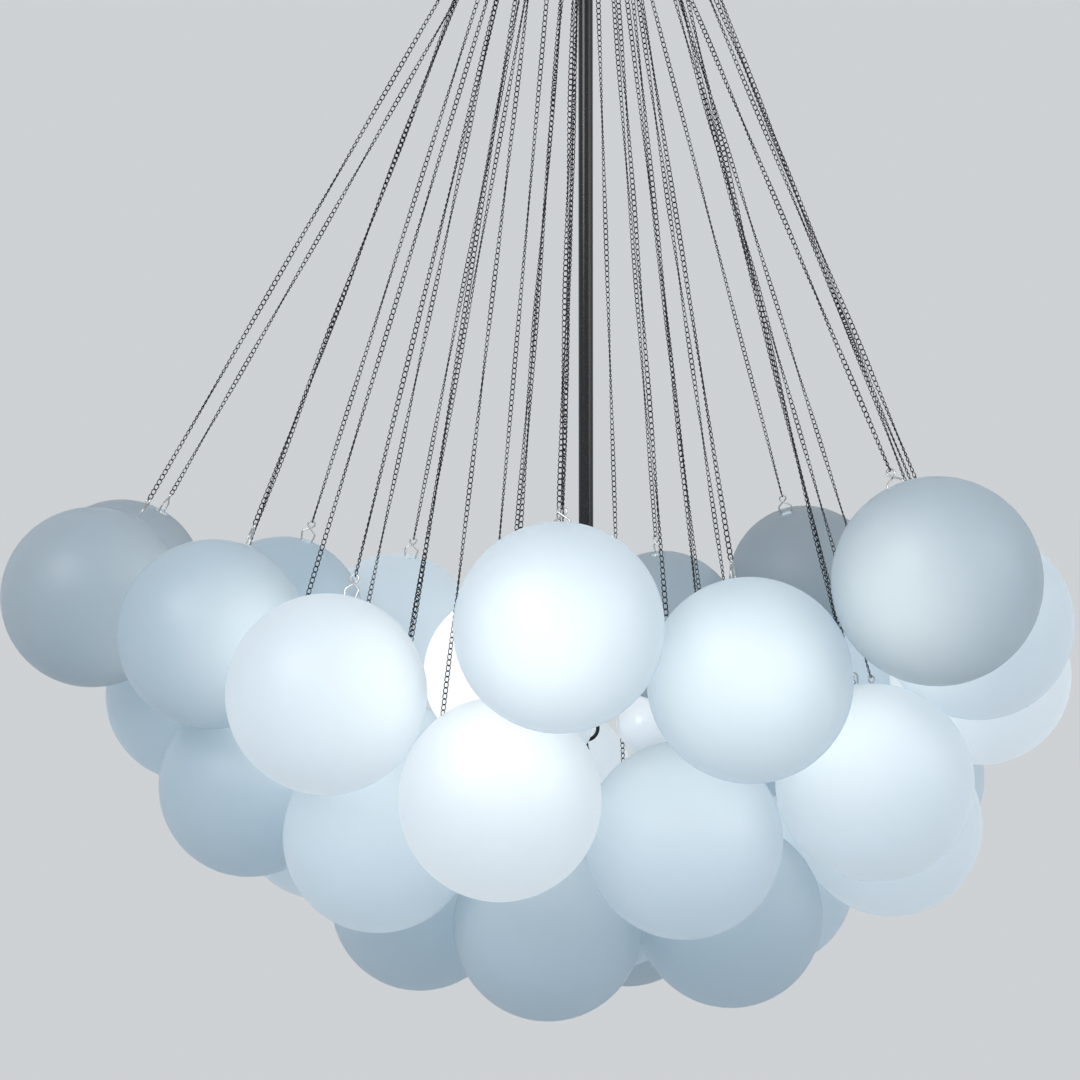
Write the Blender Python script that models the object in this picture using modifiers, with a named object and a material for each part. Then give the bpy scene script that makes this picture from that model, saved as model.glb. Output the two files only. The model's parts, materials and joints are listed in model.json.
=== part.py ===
"""Bubble chandelier: frosted glass globes hung on fine chains round a lamp cluster on a rod.

Metres, +Z up. The origin is the middle of the ceiling bracket's top face, and all hangs below.
"""

import math

import bmesh
import bpy
import numpy as np
from mathutils import Matrix, Vector

# Driving dimensions
GLOBE_DIAMETER = 0.150
GLASS_WALL = 0.0025
NECK_BORE = 0.013
HANG_HEIGHT = 0.5925
ROD_DIAMETER = 0.0125
ROD_BORE = 0.008
CANOPY_DIAMETER = 0.240
CANOPY_HEIGHT = 0.040
CANOPY_WALL = 0.0015
PLATE_THICKNESS = 0.003
PLATE_SEAT = 0.006
CHAIN_WIDTH = 0.0046
CLIP_WIRE = 0.0014
CLIP_EYE = 0.0062
CLIP_HEIGHT = 0.0174
CLIP_SHOULDER_SPREAD = 0.0127
CLIP_SHOULDER_HEIGHT = 0.0065
CLIP_FOOT_REACH = 0.0024
CLIP_FOOT_FALL = 0.0012
LINK_WIRE = 0.0018
LINK_RADIUS = 0.0042

# Chain gallery: wire rails under the load plate, on bars and posts
OUTER_RAIL_RADIUS = 0.0975
MIDDLE_RAIL_RADIUS = 0.071
INNER_RAIL_RADIUS = 0.045
RAIL_DROP = 0.012
RAIL_WIRE = 0.003
GALLERY_BAR_DEG = (-112, 4, 104)

# Ceiling bracket
BRACKET_LENGTH = 0.150
BRACKET_WIDTH = 0.032
BRACKET_THICKNESS = 0.003
SLOT_LENGTH = 0.018
SLOT_WIDTH = 0.0055
SLOT_SPACING = 0.100
BOSS_DIAMETER = 0.022
BOSS_HEIGHT = 0.014

# Nut, terminal block and lead
NUT_ACROSS = 0.024
NUT_HEIGHT = 0.007
BLOCK_LENGTH = 0.034
BLOCK_WIDTH = 0.020
BLOCK_HEIGHT = 0.014
BLOCK_OFFSET = 0.055
LEAD_DIAMETER = 0.0035
LEAD_HOLE = 0.0075

# Lamp hub, holders, centre hook and bulbs
HUB_DIAMETER = 0.046
HUB_HEIGHT = 0.044
HUB_SOCKET_DEPTH = 0.016
HUB_RISE = 0.012
HUB_EDGE = 0.004
LAMP_COUNT = 5
LAMP_TILT_DEG = 48.0
HOLDER_DIAMETER = 0.026
HOLDER_LENGTH = 0.034
HOLDER_BORE = 0.0142
HOLDER_DEPTH = 0.020
BULB_CAP = 0.0134
BULB_DIAMETER = 0.045
BULB_LENGTH = 0.076
CENTRE_HOOK_WIRE = 0.0032
CENTRE_HOOK_WIDTH = 0.020
CENTRE_HOOK_FALL = 0.058

# Clearances
FIT_GAP = 0.0003
LINK_ROOM = 0.0005
GLOBE_GAP = 0.0005
STRAND_GAP = 0.0006
OVERRUN = 0.001
MERGE = 0.00001

# Facets
GLOBE_STEPS = 10
GLOBE_ARCS = 6
CANOPY_STEPS = 32
TURNED_STEPS = 16
BULB_STEPS = 10
OUTER_RAIL_STEPS = 48
MIDDLE_RAIL_STEPS = 36
INNER_RAIL_STEPS = 16
LINK_STEPS = 8
EASING_PASSES = 400

# Each globe: azimuth in degrees from +X, then reach and level as shares of the globe's radius.
# Reach is measured from the rod, and level from the heap's level line, up positive.
UPPER_SHARES = [
    (-172, 5.50, 0.40),
    (160, 6.00, 0.65),
    (-127, 4.35, -0.60),
    (-94, 4.65, 0.05),
    (-54, 5.50, 0.50),
    (-31, 4.65, 0.10),
    (17, 4.80, 0.20),
    (39, 5.20, -0.70),
    (56, 5.30, 0.70),
    (75, 4.25, 0.10),
    (123, 4.40, 0.05),
    (-153, 4.45, 0.00),
    (149, 4.30, 0.20),
    (172, 4.60, -0.70),
    (-70, 4.30, -0.45),
    (-7, 4.40, -0.45),
    (112, 2.60, -0.50),
]
MIDDLE_SHARES = [
    (95, 3.65, -1.90),
    (-166, 3.80, -1.65),
    (163, 3.20, -2.10),
    (-135, 3.10, -2.10),
    (-104, 3.80, -1.60),
    (-73, 3.15, -2.05),
    (-46, 4.10, -1.50),
    (-19, 3.45, -2.05),
    (20, 4.00, -1.70),
    (61, 3.80, -2.20),
    (131, 3.75, -1.75),
]
LOWER_SHARES = [
    (-167, 1.90, -2.95),
    (-103, 1.95, -3.05),
    (-41, 2.00, -3.00),
    (27, 2.40, -2.90),
    (132, 2.05, -3.00),
    (76, 2.30, -3.30),
    (40, 0.45, -2.80),
]
TIER_SHARES = {"upper": UPPER_SHARES, "middle": MIDDLE_SHARES, "lower": LOWER_SHARES}

# The pendants on the outside, which swing outward, and how far their heading turns from radial.
SWING_HEADING_DEG = {
    "upper_01": 0,
    "upper_02": 0,
    "upper_03": 15,
    "upper_04": 0,
    "upper_05": 0,
    "upper_06": 0,
    "upper_07": 0,
    "upper_08": -15,
    "upper_09": 0,
    "upper_11": 0,
    "middle_01": 0,
}
CENTRE_PENDANT = "lower_07"

# A rail takes the pendants whose reach share is at least this.
OUTER_RAIL_SHARE = 4.1
MIDDLE_RAIL_SHARE = 2.65
# The lamp cluster's free space, as a share of the globe's radius round the rod.
LAMP_VOID_SHARE = 2.55
LAMP_FLOOR_SHARE = -2.0

GLOBE_RADIUS = GLOBE_DIAMETER / 2
PLATE_TOP = -CANOPY_HEIGHT + CANOPY_WALL + FIT_GAP + PLATE_THICKNESS
PLATE_BOTTOM = PLATE_TOP - PLATE_THICKNESS
RAIL_LEVEL = PLATE_BOTTOM - RAIL_DROP
LEVEL_LINE = RAIL_LEVEL - HANG_HEIGHT
HUB_TOP = LEVEL_LINE + HUB_RISE
HUB_BOTTOM = HUB_TOP - HUB_HEIGHT
CENTRE_HOOK_LEVEL = HUB_BOTTOM - CENTRE_HOOK_FALL
NECK_LEVEL = math.sqrt(GLOBE_RADIUS**2 - (NECK_BORE / 2) ** 2)
NECK_FLAT = NECK_BORE / 2 * math.cos(math.pi / GLOBE_STEPS)
INNER_RADIUS = GLOBE_RADIUS - GLASS_WALL
INNER_NECK_LEVEL = math.sqrt(INNER_RADIUS**2 - (NECK_BORE / 2) ** 2)
EYE_LEVEL = NECK_LEVEL + CLIP_HEIGHT - CLIP_EYE / 2 - CLIP_WIRE / 2
EYE_TOP = EYE_LEVEL + CLIP_EYE / 2


def clear_scene():
    for thing in list(bpy.data.objects):
        bpy.data.objects.remove(thing, do_unlink=True)
    for group in list(bpy.data.collections):
        bpy.data.collections.remove(group)


def new_collection(name):
    group = bpy.data.collections.new(name)
    bpy.context.scene.collection.children.link(group)
    return group


def new_material(name, colour, roughness, metallic, glow=0.0):
    material = bpy.data.materials.new(name)
    material.use_nodes = True
    shader = material.node_tree.nodes["Principled BSDF"]
    shader.inputs["Base Color"].default_value = (*colour, 1)
    shader.inputs["Roughness"].default_value = roughness
    shader.inputs["Metallic"].default_value = metallic
    shader.inputs["Emission Color"].default_value = (*colour, 1)
    shader.inputs["Emission Strength"].default_value = glow
    material.diffuse_color = (*colour, 1)
    return material


def place(mesh, name, group, material, matrix=None):
    """A named object for a mesh, with its material, at a place given as a matrix."""
    thing = bpy.data.objects.new(name, mesh)
    group.objects.link(thing)
    if material and not mesh.materials:
        mesh.materials.append(material)
    if matrix is not None:
        thing.matrix_world = matrix
    return thing


def cutter(thing):
    thing.hide_render = True
    thing.display_type = "WIRE"
    return thing


def smooth(mesh, degrees=40.0):
    mesh.shade_smooth()
    mesh.set_sharp_from_angle(angle=math.radians(degrees))
    return mesh


def mesh_from(bm, name):
    mesh = bpy.data.meshes.new(name)
    bm.to_mesh(mesh)
    bm.free()
    return mesh


def box(name, size, centre):
    bm = bmesh.new()
    bmesh.ops.create_cube(bm, size=1)
    bmesh.ops.scale(bm, vec=size, verts=bm.verts)
    bmesh.ops.translate(bm, vec=centre, verts=bm.verts)
    return mesh_from(bm, name)


def drum(name, radius, low, high, steps=TURNED_STEPS, turn=0.0):
    """A round or many-sided bar along Z between two levels."""
    bm = bmesh.new()
    turned = Matrix.Rotation(turn, 4, "Z")
    middle = Matrix.Translation((0, 0, (low + high) / 2))
    bmesh.ops.create_cone(bm, cap_ends=True, segments=steps, radius1=radius, radius2=radius,
                          depth=high - low, matrix=middle @ turned)
    return mesh_from(bm, name)


def turned(name, profile, group, material, steps=TURNED_STEPS, matrix=None):
    """A profile of (radius, level) points, turned about Z with a Screw modifier."""
    mesh = bpy.data.meshes.new(name)
    points = [(radius, 0, level) for radius, level in profile]
    edges = [(n, n + 1) for n in range(len(points) - 1)]
    mesh.from_pydata(points, edges, [])
    thing = place(mesh, name, group, material, matrix)
    spin = thing.modifiers.new("turned", "SCREW")
    spin.axis = "Z"
    spin.steps = steps
    spin.render_steps = steps
    spin.use_merge_vertices = True
    spin.merge_threshold = MERGE
    spin.use_smooth_shade = True
    return thing


def turned_mesh(name, profile, scratch, steps=TURNED_STEPS):
    """The mesh of a turned shape, for pieces that are cut or joined."""
    thing = turned(name, profile, scratch, None, steps)
    return evaluated_mesh(thing)


def evaluated_mesh(thing):
    """An object's evaluated mesh with its ends welded. The object is removed."""
    graph = bpy.context.evaluated_depsgraph_get()
    made = bpy.data.meshes.new_from_object(thing.evaluated_get(graph))
    bm = bmesh.new()
    bm.from_mesh(made)
    bmesh.ops.remove_doubles(bm, verts=bm.verts, dist=MERGE)
    bm.to_mesh(made)
    bm.free()
    bpy.data.objects.remove(thing)
    return made


def wire_curve(name, points, diameter, group, sides=0, closed=False):
    """A tube along points: sides 0 gives four flats, 1 gives six and so on."""
    curve = bpy.data.curves.new(name, "CURVE")
    curve.dimensions = "3D"
    curve.bevel_depth = diameter / 2
    curve.bevel_resolution = sides
    curve.use_fill_caps = not closed
    spline = curve.splines.new("POLY")
    spline.points.add(len(points) - 1)
    for point, where in zip(spline.points, points):
        point.co = (*where, 1)
    spline.use_cyclic_u = closed
    thing = bpy.data.objects.new(name, curve)
    group.objects.link(thing)
    return thing


def wire_mesh(name, points, diameter, scratch, sides=0, closed=False):
    return evaluated_mesh(wire_curve(name, points, diameter, scratch, sides, closed))


def joined(name, base, additions, scratch):
    """One closed body from a base mesh and others that run into it."""
    for number, extra in enumerate(additions):
        base = combined(f"{name}_{number}", base, extra, "UNION", scratch)
    base.name = name
    return base


def combined(name, base, other, operation, scratch):
    """A mesh joined with or cut by another, with an exact Boolean."""
    tool = cutter(place(other, name + "_tool", scratch, None))
    thing = place(base, name, scratch, None)
    change = thing.modifiers.new("change", "BOOLEAN")
    change.operation = operation
    change.solver = "EXACT"
    change.object = tool
    made = evaluated_mesh(thing)
    bpy.data.objects.remove(tool)
    return made


def moved(mesh, matrix):
    """A copy of a mesh, carried by a matrix."""
    copy = mesh.copy()
    copy.transform(matrix)
    return copy


def rail_radius(reach_share):
    if reach_share >= OUTER_RAIL_SHARE:
        return OUTER_RAIL_RADIUS
    if reach_share >= MIDDLE_RAIL_SHARE:
        return MIDDLE_RAIL_RADIUS
    return INNER_RAIL_RADIUS


def first_places():
    """The pendants' names, their globes' centres and where their chains hang, from the tables."""
    names, centres, hooks = [], [], []
    for tier, rows in TIER_SHARES.items():
        for number, (azimuth, reach, level) in enumerate(rows, 1):
            heading = math.radians(azimuth)
            out = np.array([math.cos(heading), math.sin(heading), 0])
            height = LEVEL_LINE + level * GLOBE_RADIUS
            names.append(f"{tier}_{number:02d}")
            centres.append(out * reach * GLOBE_RADIUS + [0, 0, height])
            hooks.append(out * rail_radius(reach) + [0, 0, RAIL_LEVEL])
    hooks[names.index(CENTRE_PENDANT)] = np.array([0, 0, CENTRE_HOOK_LEVEL])
    return names, np.array(centres), np.array(hooks)


def eased_apart(centres, hooks):
    """The globes' centres once none presses on another, on a strand or on the lamps' space.

    Each pass moves every pair that is too close apart along the line between them, and every
    globe that a strand runs too near away from it, until the heap lies free.
    """
    count = len(centres)
    own = np.eye(count, dtype=bool)
    apart = GLOBE_DIAMETER + GLOBE_GAP
    strand_room = GLOBE_RADIUS + CHAIN_WIDTH / 2 + STRAND_GAP
    void = LAMP_VOID_SHARE * GLOBE_RADIUS
    floor = LEVEL_LINE + LAMP_FLOOR_SHARE * GLOBE_RADIUS
    for _ in range(EASING_PASSES):
        between = centres[:, None] - centres[None]
        distance = np.linalg.norm(between, axis=2)
        distance[own] = apart
        short = np.clip(apart - distance, 0, None)
        push = (between * (short / distance / 2)[..., None]).sum(axis=1)
        strands = centres - hooks
        lengths = np.linalg.norm(strands, axis=1)
        along = strands / lengths[:, None]
        ahead = ((centres[None] - hooks[:, None]) * along[:, None]).sum(axis=2)
        ahead = np.clip(ahead, 0, lengths[:, None])
        nearest = hooks[:, None] + ahead[..., None] * along[:, None]
        away = centres[None] - nearest
        gap = np.linalg.norm(away, axis=2)
        gap[own] = strand_room
        short = np.clip(strand_room - gap, 0, None)
        push += (away * (short / gap / 2)[..., None]).sum(axis=0)
        push -= (away * (short / gap / 2 * ahead / lengths[:, None])[..., None]).sum(axis=1)
        reach = np.hypot(centres[:, 0], centres[:, 1])
        inside = (centres[:, 2] > floor) & (reach < void)
        outward = centres[:, :2] / np.maximum(reach, MERGE)[:, None]
        push[:, :2] += outward * np.where(inside, (void - reach) / 2, 0)[:, None]
        centres = centres + push
    return centres


def upright(direction, heading):
    """A turn whose Z runs along a direction, and whose X lies across the given heading."""
    z = Vector(direction).normalized()
    x = Vector(heading).cross(z).normalized()
    y = z.cross(x)
    turn = Matrix((x, y, z)).transposed()
    return turn.to_4x4()


def pendant_places():
    """For each pendant: its globe's centre, its hook point, and the heading that it swings in."""
    names, centres, hooks = first_places()
    centres = eased_apart(centres, hooks)
    places = {}
    for name, centre, hook in zip(names, centres, hooks):
        turn = math.radians(SWING_HEADING_DEG.get(name, 0))
        azimuth = math.atan2(centre[1], centre[0]) + turn
        heading = Vector((math.cos(azimuth), math.sin(azimuth), 0))
        places[name] = Vector(centre), Vector(hook), heading
    return places


def globe_profile():
    """A hollow ball with a small round neck hole at the top: up the inside, down the outside."""
    neck = math.asin(NECK_BORE / GLOBE_DIAMETER)
    turns = [neck] + [math.pi * n / GLOBE_ARCS for n in range(1, GLOBE_ARCS)]
    bottom = (0, -GLOBE_RADIUS)
    outer = [(GLOBE_RADIUS * math.sin(a), GLOBE_RADIUS * math.cos(a)) for a in turns]
    inner = [(INNER_RADIUS * math.sin(a), INNER_RADIUS * math.cos(a)) for a in turns[1:]]
    lip = (NECK_BORE / 2, INNER_NECK_LEVEL)
    return [(0, -INNER_RADIUS), *reversed(inner), lip, *outer, bottom]


def clip_points():
    """The spring clip's wire: foot, leg, shoulder, round the eye, and down the other side."""
    leg = NECK_FLAT - CLIP_WIRE / 2 - FIT_GAP
    heel = INNER_NECK_LEVEL - CLIP_WIRE
    toe = (leg + CLIP_FOOT_REACH + CLIP_WIRE, heel - CLIP_FOOT_FALL)
    shoulder = (CLIP_SHOULDER_SPREAD / 2, NECK_LEVEL + CLIP_SHOULDER_HEIGHT)
    side = CLIP_WIRE / 2 + FIT_GAP / 2
    half = [toe, (leg, heel), shoulder]
    points = [(-x, side, z) for x, z in half]
    arc = [math.radians(a) for a in (-45, 25, 90, 155, 225)]
    for number, angle in enumerate(arc):
        across = side - 2 * side * number / (len(arc) - 1)
        rise = EYE_LEVEL + CLIP_EYE / 2 * math.sin(angle)
        points.append((CLIP_EYE / 2 * math.cos(angle), across, rise))
    return points + [(x, -side, z) for x, z in reversed(half)]


def hanger_mesh(name, length, link, scratch):
    """A clip with its chain, along Z from the globe's centre to the rail's centre at length."""
    clip = wire_mesh(name + "_clip", clip_points(), CLIP_WIRE, scratch)
    top = length
    extras = []
    if link:
        centre = length + RAIL_WIRE / 2 + LINK_ROOM + LINK_WIRE / 2 - LINK_RADIUS
        turns = [2 * math.pi * n / LINK_STEPS for n in range(LINK_STEPS)]
        loop = [(0, LINK_RADIUS * math.cos(a), centre + LINK_RADIUS * math.sin(a)) for a in turns]
        extras.append(wire_mesh(name + "_link", loop, LINK_WIRE, scratch, closed=True))
        top = centre - LINK_RADIUS
    strand = drum(name + "_chain", CHAIN_WIDTH / 2, EYE_TOP - CLIP_WIRE / 4, top, 4)
    return joined(name, strand, [clip, *extras], scratch)


def build_globes(places, group, material):
    first = None
    for name, (centre, hook, heading) in places.items():
        matrix = Matrix.Translation(centre) @ upright(hook - centre, heading)
        thing = turned(globe_name(name), globe_profile(), group, material, GLOBE_STEPS, matrix)
        if first:
            spare = thing.data
            thing.data = first
            bpy.data.meshes.remove(spare)
        first = thing.data


def globe_name(pendant):
    tier, number = pendant.split("_")
    return f"{tier}_globe_{number}"


def hanger_name(pendant):
    tier, number = pendant.split("_")
    return f"{tier}_hanger_{number}"


def build_hangers(places, group, scratch, material):
    """The outside pendants' chains with their clips, each swinging on the rail by its last link."""
    for name in SWING_HEADING_DEG:
        centre, hook, heading = places[name]
        pivot = bpy.data.objects.new(name + "_pivot", None)
        group.objects.link(pivot)
        pivot.location = hook
        length = (hook - centre).length
        mesh = smooth(hanger_mesh(hanger_name(name), length, True, scratch))
        mesh.transform(Matrix.Translation((0, 0, -length)))
        thing = place(mesh, hanger_name(name), group, material)
        thing.parent = pivot
        thing.matrix_local = upright(hook - centre, heading)


def build_load_plate(group, scratch, material):
    """The round plate that closes the canopy and carries the gallery."""
    bore = ROD_DIAMETER / 2 + FIT_GAP
    rim = CANOPY_DIAMETER / 2 - CANOPY_WALL - FIT_GAP
    outline = [(bore, PLATE_BOTTOM), (bore, PLATE_TOP), (rim, PLATE_TOP), (rim, PLATE_BOTTOM),
               (bore, PLATE_BOTTOM)]
    turned("load_plate", outline, group, material, CANOPY_STEPS)


def rail_mesh(radius, steps, scratch):
    turns = [2 * math.pi * n / steps for n in range(steps)]
    loop = [(radius * math.cos(a), radius * math.sin(a), RAIL_LEVEL) for a in turns]
    return wire_mesh("rail", loop, RAIL_WIRE, scratch, closed=True)


def gallery_bar(heading, scratch):
    """A level bar across the three rails, and the post that carries it under the load plate."""
    out = Vector((math.cos(heading), math.sin(heading), 0))
    level = Vector((0, 0, RAIL_LEVEL))
    high = Vector((0, 0, PLATE_BOTTOM - FIT_GAP))
    bar = [out * INNER_RAIL_RADIUS + level, out * OUTER_RAIL_RADIUS + level]
    post = [out * MIDDLE_RAIL_RADIUS + level, out * MIDDLE_RAIL_RADIUS + high]
    return [wire_mesh("bar", bar, RAIL_WIRE, scratch), wire_mesh("post", post, RAIL_WIRE, scratch)]


def build_gallery(places, group, scratch, material):
    """The three rails on their bars and posts, with the chains and clips of the inner pendants."""
    first = rail_mesh(OUTER_RAIL_RADIUS, OUTER_RAIL_STEPS, scratch)
    extras = []
    for degrees in GALLERY_BAR_DEG:
        extras += gallery_bar(math.radians(degrees), scratch)
    extras.append(rail_mesh(MIDDLE_RAIL_RADIUS, MIDDLE_RAIL_STEPS, scratch))
    extras.append(rail_mesh(INNER_RAIL_RADIUS, INNER_RAIL_STEPS, scratch))
    for name, (centre, hook, heading) in places.items():
        if name == CENTRE_PENDANT or name in SWING_HEADING_DEG:
            continue
        matrix = Matrix.Translation(centre) @ upright(hook - centre, heading)
        extras.append(moved(hanger_mesh(name, (hook - centre).length, False, scratch), matrix))
    body = joined("chain_gallery", first, extras, scratch)
    place(smooth(body), "chain_gallery", group, material)


def build_canopy(group, material):
    """A round cover with a flange that the load plate rests on, open at the ceiling."""
    outside = CANOPY_DIAMETER / 2
    inside = outside - CANOPY_WALL
    opening = inside - PLATE_SEAT
    bottom = -CANOPY_HEIGHT
    profile = [(opening, bottom), (opening, bottom + CANOPY_WALL), (inside, bottom + CANOPY_WALL),
               (inside, -FIT_GAP), (outside, -FIT_GAP), (outside, bottom), (opening, bottom)]
    turned("canopy", profile, group, material, CANOPY_STEPS)


def build_bracket(group, scratch, material):
    """A ceiling strap with two slots and a threaded boss that the rod screws into."""
    strap = box("strap", (BRACKET_LENGTH, BRACKET_WIDTH, BRACKET_THICKNESS),
                (0, 0, -BRACKET_THICKNESS / 2))
    boss = drum("boss", BOSS_DIAMETER / 2, -BOSS_HEIGHT, -BRACKET_THICKNESS / 2)
    body = joined("bracket", strap, [boss], scratch)
    bore = drum("bore", ROD_DIAMETER / 2 + FIT_GAP, -BOSS_HEIGHT - OVERRUN, -BRACKET_THICKNESS)
    body = combined("bored", body, bore, "DIFFERENCE", scratch)
    for side in (-1, 1):
        slot = box("slot", (SLOT_LENGTH, SLOT_WIDTH, BRACKET_THICKNESS + 2 * OVERRUN),
                   (side * SLOT_SPACING / 2, 0, -BRACKET_THICKNESS / 2))
        body = combined("slotted", body, slot, "DIFFERENCE", scratch)
    place(body, "ceiling_bracket", group, material)


def build_rod(group, scratch, material):
    """The hollow rod from the bracket's boss to the lamp hub, with a side hole for the lead."""
    top = -BRACKET_THICKNESS - FIT_GAP
    bottom = HUB_TOP - HUB_SOCKET_DEPTH + FIT_GAP
    tube = turned_mesh("tube", [(ROD_BORE / 2, bottom), (ROD_BORE / 2, top),
                                (ROD_DIAMETER / 2, top), (ROD_DIAMETER / 2, bottom),
                                (ROD_BORE / 2, bottom)], scratch)
    hole = drum("hole", LEAD_HOLE / 2, 0, ROD_DIAMETER, 12)
    hole.transform(Matrix.Translation((0, 0, lead_level())) @ Matrix.Rotation(math.pi / 2, 4, "Y"))
    body = combined("rod", tube, hole, "DIFFERENCE", scratch)
    place(smooth(body), "rod", group, material)


def lead_level():
    """The lead runs at the height of the terminal block's middle."""
    return PLATE_TOP + FIT_GAP + BLOCK_HEIGHT / 2


def build_plate_nut(group, scratch, material):
    """The nut under the load plate that carries it on the rod."""
    high = PLATE_BOTTOM - FIT_GAP
    low = high - NUT_HEIGHT
    nut = drum("nut", NUT_ACROSS / math.sqrt(3), low, high, 6)
    bore = drum("nut_bore", ROD_DIAMETER / 2 + FIT_GAP, low - OVERRUN, high + OVERRUN)
    place(combined("plate_nut", nut, bore, "DIFFERENCE", scratch), "plate_nut", group, material)


def build_terminal_block(group, material):
    low = PLATE_TOP + FIT_GAP
    centre = (BLOCK_OFFSET, 0, low + BLOCK_HEIGHT / 2)
    block = box("terminal_block", (BLOCK_WIDTH, BLOCK_LENGTH, BLOCK_HEIGHT), centre)
    thing = place(block, "terminal_block", group, material)
    edge = thing.modifiers.new("edge", "BEVEL")
    edge.width = CANOPY_WALL
    edge.segments = 1


def build_lead(group, material):
    """The lead from the terminal block through the rod's side hole and down its bore."""
    level = lead_level()
    bend = LEAD_HOLE - LEAD_DIAMETER / 2
    points = [(BLOCK_OFFSET - BLOCK_WIDTH / 2 - FIT_GAP, 0, level)]
    for degrees in (0, 30, 60, 90):
        turn = math.radians(degrees)
        points.append((bend * (1 - math.sin(turn)), 0, level - bend * (1 - math.cos(turn))))
    points.append((0, 0, HUB_TOP - HUB_SOCKET_DEPTH + FIT_GAP))
    thing = wire_curve("lamp_lead", points, LEAD_DIAMETER, group, 1)
    thing.data.materials.append(material)


def lamp_turns():
    """Each lamp's place: Z runs out along its axis, from the hub's middle."""
    middle = Matrix.Translation((0, 0, HUB_TOP - HUB_HEIGHT / 2))
    tip = Matrix.Rotation(math.pi / 2 + math.radians(LAMP_TILT_DEG), 4, "Y")
    for number in range(LAMP_COUNT):
        yield middle @ Matrix.Rotation(2 * math.pi * (number + 0.5) / LAMP_COUNT, 4, "Z") @ tip


def build_lamp_hub(places, group, scratch, material):
    """The turned hub with its tilted lamp holders and the hook for the centre pendant."""
    outside = HUB_DIAMETER / 2
    socket = ROD_DIAMETER / 2 + FIT_GAP
    floor = HUB_TOP - HUB_SOCKET_DEPTH
    profile = [(0, floor), (socket, floor), (socket, HUB_TOP), (outside - HUB_EDGE, HUB_TOP),
               (outside, HUB_TOP - HUB_EDGE), (outside, HUB_BOTTOM + HUB_EDGE),
               (outside - HUB_EDGE, HUB_BOTTOM), (0, HUB_BOTTOM)]
    hub = turned_mesh("hub", profile, scratch)
    start = HUB_DIAMETER / 4
    end = holder_end()
    holders = []
    for matrix in lamp_turns():
        holder = drum("holder", HOLDER_DIAMETER / 2, start, end, BULB_STEPS)
        holders.append(moved(holder, matrix))
    body = joined("hub_body", hub, [*holders, *centre_hook(places, scratch)], scratch)
    for matrix in lamp_turns():
        bore = drum("bore", HOLDER_BORE / 2, end - HOLDER_DEPTH, end + OVERRUN, BULB_STEPS)
        body = combined("hub_bored", body, moved(bore, matrix), "DIFFERENCE", scratch)
    place(smooth(body), "lamp_hub", group, material)


def holder_end():
    return HUB_DIAMETER / 2 + HOLDER_LENGTH


def centre_hook(places, scratch):
    """A U of wire under the hub, with the short chain and clip of the globe in the middle."""
    centre, hook, heading = places[CENTRE_PENDANT]
    radius = CENTRE_HOOK_WIDTH / 2
    across = Vector((-heading.y, heading.x, 0))
    root = HUB_BOTTOM + HUB_EDGE
    points = [hook - across * radius + Vector((0, 0, root - hook.z))]
    for angle in (180, 210, 240, 270, 300, 330, 360):
        swing = math.radians(angle)
        lift = Vector((0, 0, radius + radius * math.sin(swing)))
        points.append(hook + across * radius * math.cos(swing) + lift)
    points.append(hook + across * radius + Vector((0, 0, root - hook.z)))
    bend = wire_mesh("centre_hook", points, CENTRE_HOOK_WIRE, scratch, 1)
    matrix = Matrix.Translation(centre) @ upright(hook - centre, heading)
    hanger = moved(hanger_mesh("centre", (hook - centre).length, False, scratch), matrix)
    return [bend, hanger]


def bulb_profile():
    """A golf-ball lamp: round glass at the far end, a tapering neck and a plain cap."""
    radius = BULB_DIAMETER / 2
    start = holder_end() - HOLDER_DEPTH + FIT_GAP
    end = start + BULB_LENGTH
    centre = end - radius
    ball = [(radius * math.sin(a), centre + radius * math.cos(a))
            for a in (math.pi * n / 7 for n in range(6))]
    cap = BULB_CAP / 2
    mouth = holder_end() + FIT_GAP
    return [*ball, (cap, mouth), (cap, start), (0, start)]


def build_bulbs(group, material):
    for number, matrix in enumerate(lamp_turns(), 1):
        turned(f"bulb_{number}", bulb_profile(), group, material, BULB_STEPS, matrix)


def main():
    clear_scene()
    group = new_collection("bubble_chandelier")
    scratch = new_collection("cutters")
    glass = new_material("frosted_glass", (0.86, 0.90, 0.93), 0.55, 0.0)
    black = new_material("black_metal", (0.012, 0.012, 0.014), 0.35, 0.85)
    steel = new_material("steel", (0.55, 0.55, 0.56), 0.30, 1.0)
    plastic = new_material("pale_plastic", (0.80, 0.80, 0.78), 0.50, 0.0)
    sleeve = new_material("black_sleeve", (0.02, 0.02, 0.02), 0.60, 0.0)
    glow = new_material("lit_bulb", (0.93, 0.97, 1.0), 0.40, 0.0, 3.0)
    places = pendant_places()
    build_bracket(group, scratch, steel)
    build_canopy(group, black)
    build_load_plate(group, scratch, black)
    build_gallery(places, group, scratch, black)
    build_plate_nut(group, scratch, steel)
    build_rod(group, scratch, black)
    build_terminal_block(group, plastic)
    build_lead(group, sleeve)
    build_lamp_hub(places, group, scratch, black)
    build_bulbs(group, glow)
    build_hangers(places, group, scratch, black)
    build_globes(places, group, glass)


main()
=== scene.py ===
# %% [markdown]
# # A bubble chandelier
#
# Frosted glass globes hang on fine black chains, heaped like a wide bowl round a cluster of lamps
# on a rod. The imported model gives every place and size, so this script only makes the surfaces and
# the finishes. Each step says what the real piece is, how it could be made, and why this way was
# chosen.

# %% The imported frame
import json
import math

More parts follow.
